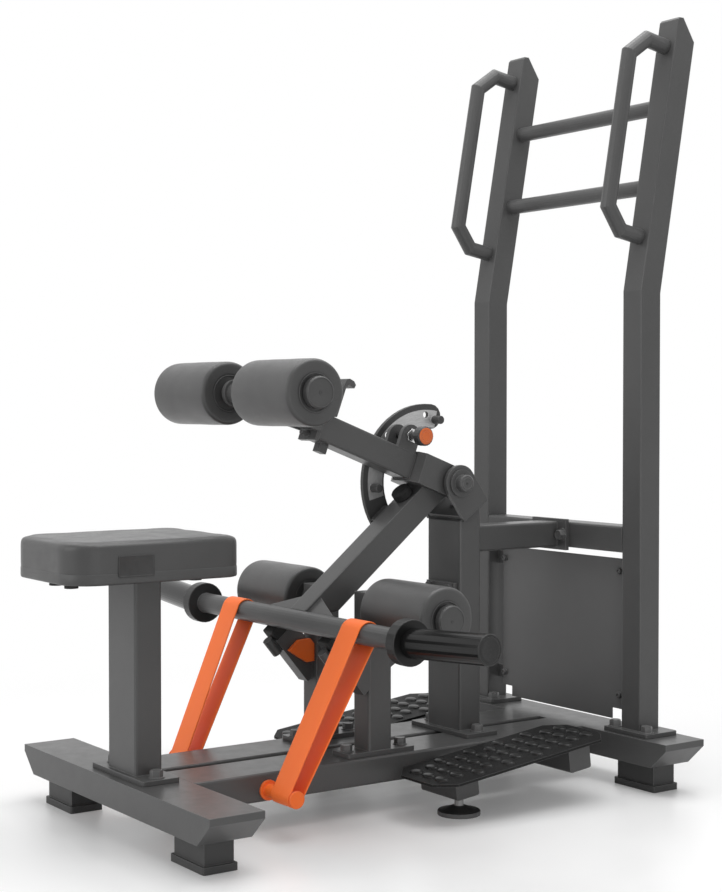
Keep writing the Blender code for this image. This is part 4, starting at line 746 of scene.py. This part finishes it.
def seat_cushion():
    seat = seat_base()
    swell(seat)
    smooth = seat.modifiers.new("smooth", "SMOOTH")
    smooth.factor = 0.5
    smooth.iterations = 3
    subdivide = seat.modifiers.new("subdivide", "SUBSURF")
    subdivide.levels = 1
    subdivide.render_levels = 1
    freeze(seat)
    for vertex in seat.data.vertices:
        vertex.co.z = max(vertex.co.z, SEAT_BOTTOM)
    seat.data.shade_smooth()
    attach(seat, "base_frame")
    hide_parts("seat_cushion")


def seat_tag():
    """A plain rubber tag with a raised rim, sewn on the cushion's side."""
    bm = bmesh.new()
    x = SEAT_SIZE[0] / 2
    rings = []
    for inset, out in TAG_SECTION:
        half = (TAG_HALF[0] - inset, TAG_HALF[1] - inset)
        corners = rounded_corners(half, [TAG_CORNER] * 4, TAG_CORNER_STEPS)
        rings.append([bm.verts.new((x + out, TAG_Y + y, TAG_Z + z)) for points in corners for y, z in points])
    skin_and_cap(bm, rings)
    piece("seat_tag", bm, TAG, "base_frame")


def seat_wrap():
    """The vinyl pulled down over the board's edge: a thin strip round it, its lower edge turned in."""
    bm = bmesh.new()
    rings = [seat_ring(bm, inset, SEAT_BOTTOM + rise) for inset, rise in WRAP_SECTION]
    skin_rings(bm, rings, closed=True)
    piece("seat_wrap", bm, SEAT_VINYL, "base_frame", sharp=70.0)


seat_cushion()
seat_tag()
seat_wrap()


# Elastic bands

def band_path():
    """The middle line of a band round the bar and its peg, and the outward direction at each point."""
    dy, dz = PEG[0] - BAR[0], PEG[1] - BAR[1]
    distance = math.hypot(dy, dz)
    heading = math.atan2(dz, dy)
    radii = (BAR_RADIUS + GAP + BAND_THICK / 2, PEG_RADIUS + GAP + BAND_THICK / 2)
    swing = math.acos((radii[0] - radii[1]) / distance)
    points = []
    for centre, radius, start, end in ((BAR, radii[0], heading + swing, heading - swing + 2 * math.pi),
                                       (PEG, radii[1], heading - swing, heading + swing)):
        for i in range(BAND_ARC_STEPS + 1):
            angle = start + (end - start) * i / BAND_ARC_STEPS
            out = (math.cos(angle), math.sin(angle))
            points.append((centre[0] + radius * out[0], centre[1] + radius * out[1], out))
    return points


def with_runs(points):
    """The path with its two straight runs divided into many parts."""
    path = []
    for i, (y, z, out) in enumerate(points):
        path.append((y, z, out))
        if i in (BAND_ARC_STEPS, 2 * BAND_ARC_STEPS + 1):
            next_y, next_z, _ = points[(i + 1) % len(points)]
            for k in range(1, BAND_RUN_PARTS):
                share = k / BAND_RUN_PARTS
                path.append((y + (next_y - y) * share, z + (next_z - z) * share, out))
    return path


def band_section():
    """The band's section: (place across, thickness outward), with rounded edges and divided faces."""
    half, thick = BAND_WIDTH / 2, BAND_THICK / 2
    bend = thick * BAND_ROUNDING
    upper_right, upper_left, lower_left, lower_right = rounded_corners((half, thick), [bend] * 4,
                                                                       BAND_CORNER_STEPS)
    shares = [k / BAND_ACROSS_PARTS for k in range(1, BAND_ACROSS_PARTS)]
    upper = [((half - bend) * (1 - 2 * share), thick) for share in shares]
    lower = [(-across, -outward) for across, outward in upper]
    return upper_right + upper + upper_left + lower_left + lower + lower_right


def elastic_band(side, sign):
    bm = bmesh.new()
    lean = (BAND_X_BAR - BAND_X_PEG) / (BAR[1] - PEG[1])
    section = band_section()
    rings = []
    for y, z, out in with_runs(band_path()):
        middle = sign * (BAND_X_BAR + (z - BAR[1]) * lean)
        rings.append([bm.verts.new((middle + across, y + out[0] * thick, z + out[1] * thick))
                      for across, thick in section])
    skin_rings(bm, rings, closed=True)
    made = piece(f"band_{side}", bm, BAND)
    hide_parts(f"elastic_band_{side}")
    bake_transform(made)


for side, sign in SIDES:
    elastic_band(side, sign)


# Bolts

def hex_bolt(name, at, normal=UP, scale=1.0):
    """A hexagonal head with a chamfered top on a washer, standing on a face with that normal."""
    bm = bmesh.new()
    washer = [level_ring(bm, [radius * scale] * BOLT_SIDES, z * scale) for radius, z in WASHER_SECTION]
    skin_and_cap(bm, washer)
    levels = [(WASHER_THICK * scale - GAP, 1.0, 1.0)]
    levels += [(z * scale, corner, flat) for z, corner, flat in HEX_SECTION]
    head = []
    for height, corner, flat in levels:
        shares = (corner, flat * math.cos(math.pi / 6)) * 6
        head.append(level_ring(bm, [HEX_RADIUS * scale * share for share in shares], height))
    skin_and_cap(bm, head)
    stand(bm, at, normal)
    piece(name, bm, BOLT_STEEL, "base_frame", sharp=25.0)


def socket_share(k):
    """How far a hexagon reaches at the k-th point round it, as a share of its corners' reach."""
    angle = 2 * math.pi * k / BOLT_SIDES
    return math.cos(math.pi / 6) / math.cos(angle % (math.pi / 3) - math.pi / 6)


def button_bolt(name, at, normal):
    """A round head with a hexagonal socket."""
    bm = bmesh.new()
    rings = []
    for share, rise in BUTTON_SECTION:
        shares = [socket_share(k) if share <= SOCKET_SHARE else 1.0 for k in range(BOLT_SIDES)]
        rings.append(level_ring(bm, [BUTTON_RADIUS * share * part for part in shares], rise))
    skin_and_cap(bm, rings)
    stand(bm, at, normal)
    piece(name, bm, BOLT_STEEL, "base_frame", sharp=25.0)


def bolts(side, sign):
    """The bolts of one side of the frame."""
    hex_bolt(f"seat_bolt_{side}", (sign * SEAT_BOLT[0], SEAT_BOLT[1], FLANGE_TOP))
    hex_bolt(f"column_bolt_{side}", (sign * COLUMN_BOLT[0], COLUMN_BOLT[1], FLANGE_TOP))
    hex_bolt(f"brace_bolt_{side}", (sign * BRACE_BOLT[0], BRACE_BOLT[1], BRACE_BOLT[2]), FORWARD, SMALL_BOLT)
    for number, y in enumerate(KNEE_BOLT_YS):
        hex_bolt(f"knee_bolt_{side}_{number}", (sign * KNEE_BOLT_X, y, FLANGE_TOP), UP, SMALL_BOLT)
    for number, x in enumerate(UPRIGHT_BOLT_XS):
        hex_bolt(f"upright_bolt_{side}_{number}", (sign * x, UPRIGHT_BOLT_Y, FLANGE_TOP))
    for number, z in enumerate(PANEL_BOLT_ZS):
        button_bolt(f"panel_bolt_{side}_{number}", (sign * PANEL_BOLT[0], PANEL_BOLT[1], z), FORWARD)


for side, sign in SIDES:
    bolts(side, sign)


# Pivot caps, sleeve plugs and the plunger's knob

def pivot_cap(side, sign):
    """A thin ring and a dot on one end of the pivot's axle."""
    face, lift = sign * PIVOT_CAP_FACE, sign * PIVOT_LIFT
    ring = raised_ring(PIVOT_RING, face, lift, PIVOT, 48)
    piece(f"pivot_cap_ring_{side}", ring, PAINT, "base_frame")
    dot = raised_dot(PIVOT_DOT, face, lift, PIVOT, 0.0)
    piece(f"pivot_cap_centre_{side}", dot, PLASTIC, "base_frame")


def sleeve_plug(side, sign):
    """A thin matt plug in the end of a weight sleeve, square to the sleeve's own axis."""
    start, end = (Vector((sign * x, y, z)) for x, y, z in (SLEEVE_START, SLEEVE_END))
    bm = bmesh.new()
    turned(bm, PLUG_SECTION, (0.0, 0.0), 64)
    stand(bm, end, end - start, built_along=RIGHT)
    piece(f"sleeve_plug_{side}", bm, PLUG, "weight_lever")


def knob_disc():
    """The orange disc in the knob's face."""
    bm = bmesh.new()
    turned(bm, [(radius, KNOB_FACE + rise) for radius, rise in KNOB_SECTION], PLUNGER, 48)
    piece("knob_disc", bm, ORANGE_PLASTIC, "plunger")


for side, sign in SIDES:
    pivot_cap(side, sign)
for side, sign in SIDES:
    sleeve_plug(side, sign)
knob_disc()


# Tread lenses

def lens_places():
    """The middles of the lenses on one plate, in its own plane: rows, every second one shifted."""
    rows = int((TREAD_SPAN[1] - TREAD_SPAN[0] - 2 * LENS_MARGIN) / LENS_PITCH[1]) + 1
    middle_x = sum(TREAD_X) / 2
    middle_y = sum(TREAD_SPAN) / 2
    places = []
    for row in range(rows):
        count = LENS_COUNTS[row % 2]
        if row in (0, rows - 1):
            count -= 1
        for k in range(count):
            places.append((middle_x + (k - (count - 1) / 2) * LENS_PITCH[0],
                           middle_y + (row - (rows - 1) / 2) * LENS_PITCH[1]))
    return places


def tread_lenses(side, sign):
    """The raised lenses of one plate, as one piece."""
    bm = bmesh.new()
    for x, y in lens_places():
        rings = []
        for share in LENS_SHARES:
            height = LENS_HEIGHT * math.sqrt(max(0.0, 1 - share ** 4)) if share < 1.0 else -GAP
            rings.append([bm.verts.new((sign * x + LENS[0] * share * math.cos(k * math.pi / 12),
                                        y + LENS[1] * share * math.sin(k * math.pi / 12), height))
                          for k in range(24)])
        skin_and_cap(bm, rings)
    bm.transform(Matrix.Translation((0.0, *TREAD_AT)) @ Matrix.Rotation(TREAD_SLOPE, 4, "X"))
    piece(f"tread_lenses_{side}", bm, LENS_COAT, "base_frame", sharp=60.0)


for side, sign in SIDES:
    tread_lenses(side, sign)


# Floor, light and camera

def rays_that_see(tree):
    """1 for a ray of the camera, of gloss or through glass, and 0 for all other light."""
    rays = tree.nodes.new("ShaderNodeLightPath").outputs
    seen = rays["Is Camera Ray"]
    for name in ("Is Glossy Ray", "Is Transmission Ray"):
        highest = tree.nodes.new("ShaderNodeMath")
        highest.operation = "MAXIMUM"
        tree.links.new(seen, highest.inputs[0])
        tree.links.new(rays[name], highest.inputs[1])
        seen = highest.outputs[0]
    return seen


def floor_paint():
    """A pale floor that keeps the shadows near the machine, and is plain white further out."""
    g = Graph("pale_floor")
    seen = rays_that_see(g.tree)
    distance = g.node("VectorMath", {0: g.place}, operation="LENGTH").outputs["Value"]
    g.feed(g.shader, {"Base Color": g.mix(g.spread(g.noise(3.0, 4.0)), tone(226), tone(229)),
                      "Roughness": g.spread(g.noise(12.0, 3.0), 0.32, 0.38), "Specular IOR Level": 0.35})
    lift = g.node("Emission", {"Color": WHITE, "Strength": g.math("MULTIPLY", seen, FLOOR_LIFT)})
    lit = g.node("AddShader", {0: g.shader.outputs[0], 1: lift.outputs[0]})
    white = g.node("Emission", {"Color": WHITE, "Strength": 1.0})
    fade = g.math("MULTIPLY", g.remap(distance, *FLOOR_FADE, smooth=True), seen)
    mixed = g.node("MixShader", {0: fade, 1: lit.outputs[0], 2: white.outputs[0]})
    output = next(n for n in g.tree.nodes if n.type == "OUTPUT_MATERIAL")
    g.tree.links.new(mixed.outputs[0], output.inputs["Surface"])
    return g.material


def floor():
    bm = bmesh.new()
    bmesh.ops.create_grid(bm, x_segments=4, y_segments=4, size=FLOOR_SIZE)
    mesh = bpy.data.meshes.new("floor")
    bm.to_mesh(mesh)
    bm.free()
    obj = bpy.data.objects.new("floor", mesh)
    obj.location.z = FLOOR_Z
    scene.collection.objects.link(obj)
    mesh.materials.append(floor_paint())


def white_world():
    """White to the eye and to gloss, with a low even light on everything else."""
    world = bpy.data.worlds.new("white_world")
    scene.world = world
    world.use_nodes = True
    tree = world.node_tree
    background = tree.nodes["Background"]
    share = tree.nodes.new("ShaderNodeMapRange")
    tree.links.new(rays_that_see(tree), share.inputs["Value"])
    share.inputs["To Min"].default_value = WORLD_STRENGTH
    share.inputs["To Max"].default_value = 1.0
    tree.links.new(share.outputs["Result"], background.inputs["Strength"])
    background.inputs["Color"].default_value = WHITE


def softbox(name, at, target, size, power):
    data = bpy.data.lights.new(name, "AREA")
    data.shape = "RECTANGLE"
    data.size, data.size_y = size
    data.energy = power
    lamp = bpy.data.objects.new(name, data)
    scene.collection.objects.link(lamp)
    lamp.location = at
    lamp.rotation_euler = (Vector(target) - Vector(at)).to_track_quat("-Z", "Y").to_euler()


floor()
white_world()
for row in SOFTBOXES:
    softbox(*row)

camera_data = bpy.data.cameras.new("camera")
camera_data.lens = 67.88
camera_data.sensor_width = 36.0
camera = bpy.data.objects.new("camera", camera_data)
scene.collection.objects.link(camera)
camera.location = (2.5245, -1.769 + SHIFT, 0.725)
camera.rotation_euler = (math.radians(88.51), 0.0, math.radians(55.16))
scene.camera = camera

scene.view_settings.view_transform = "Standard"
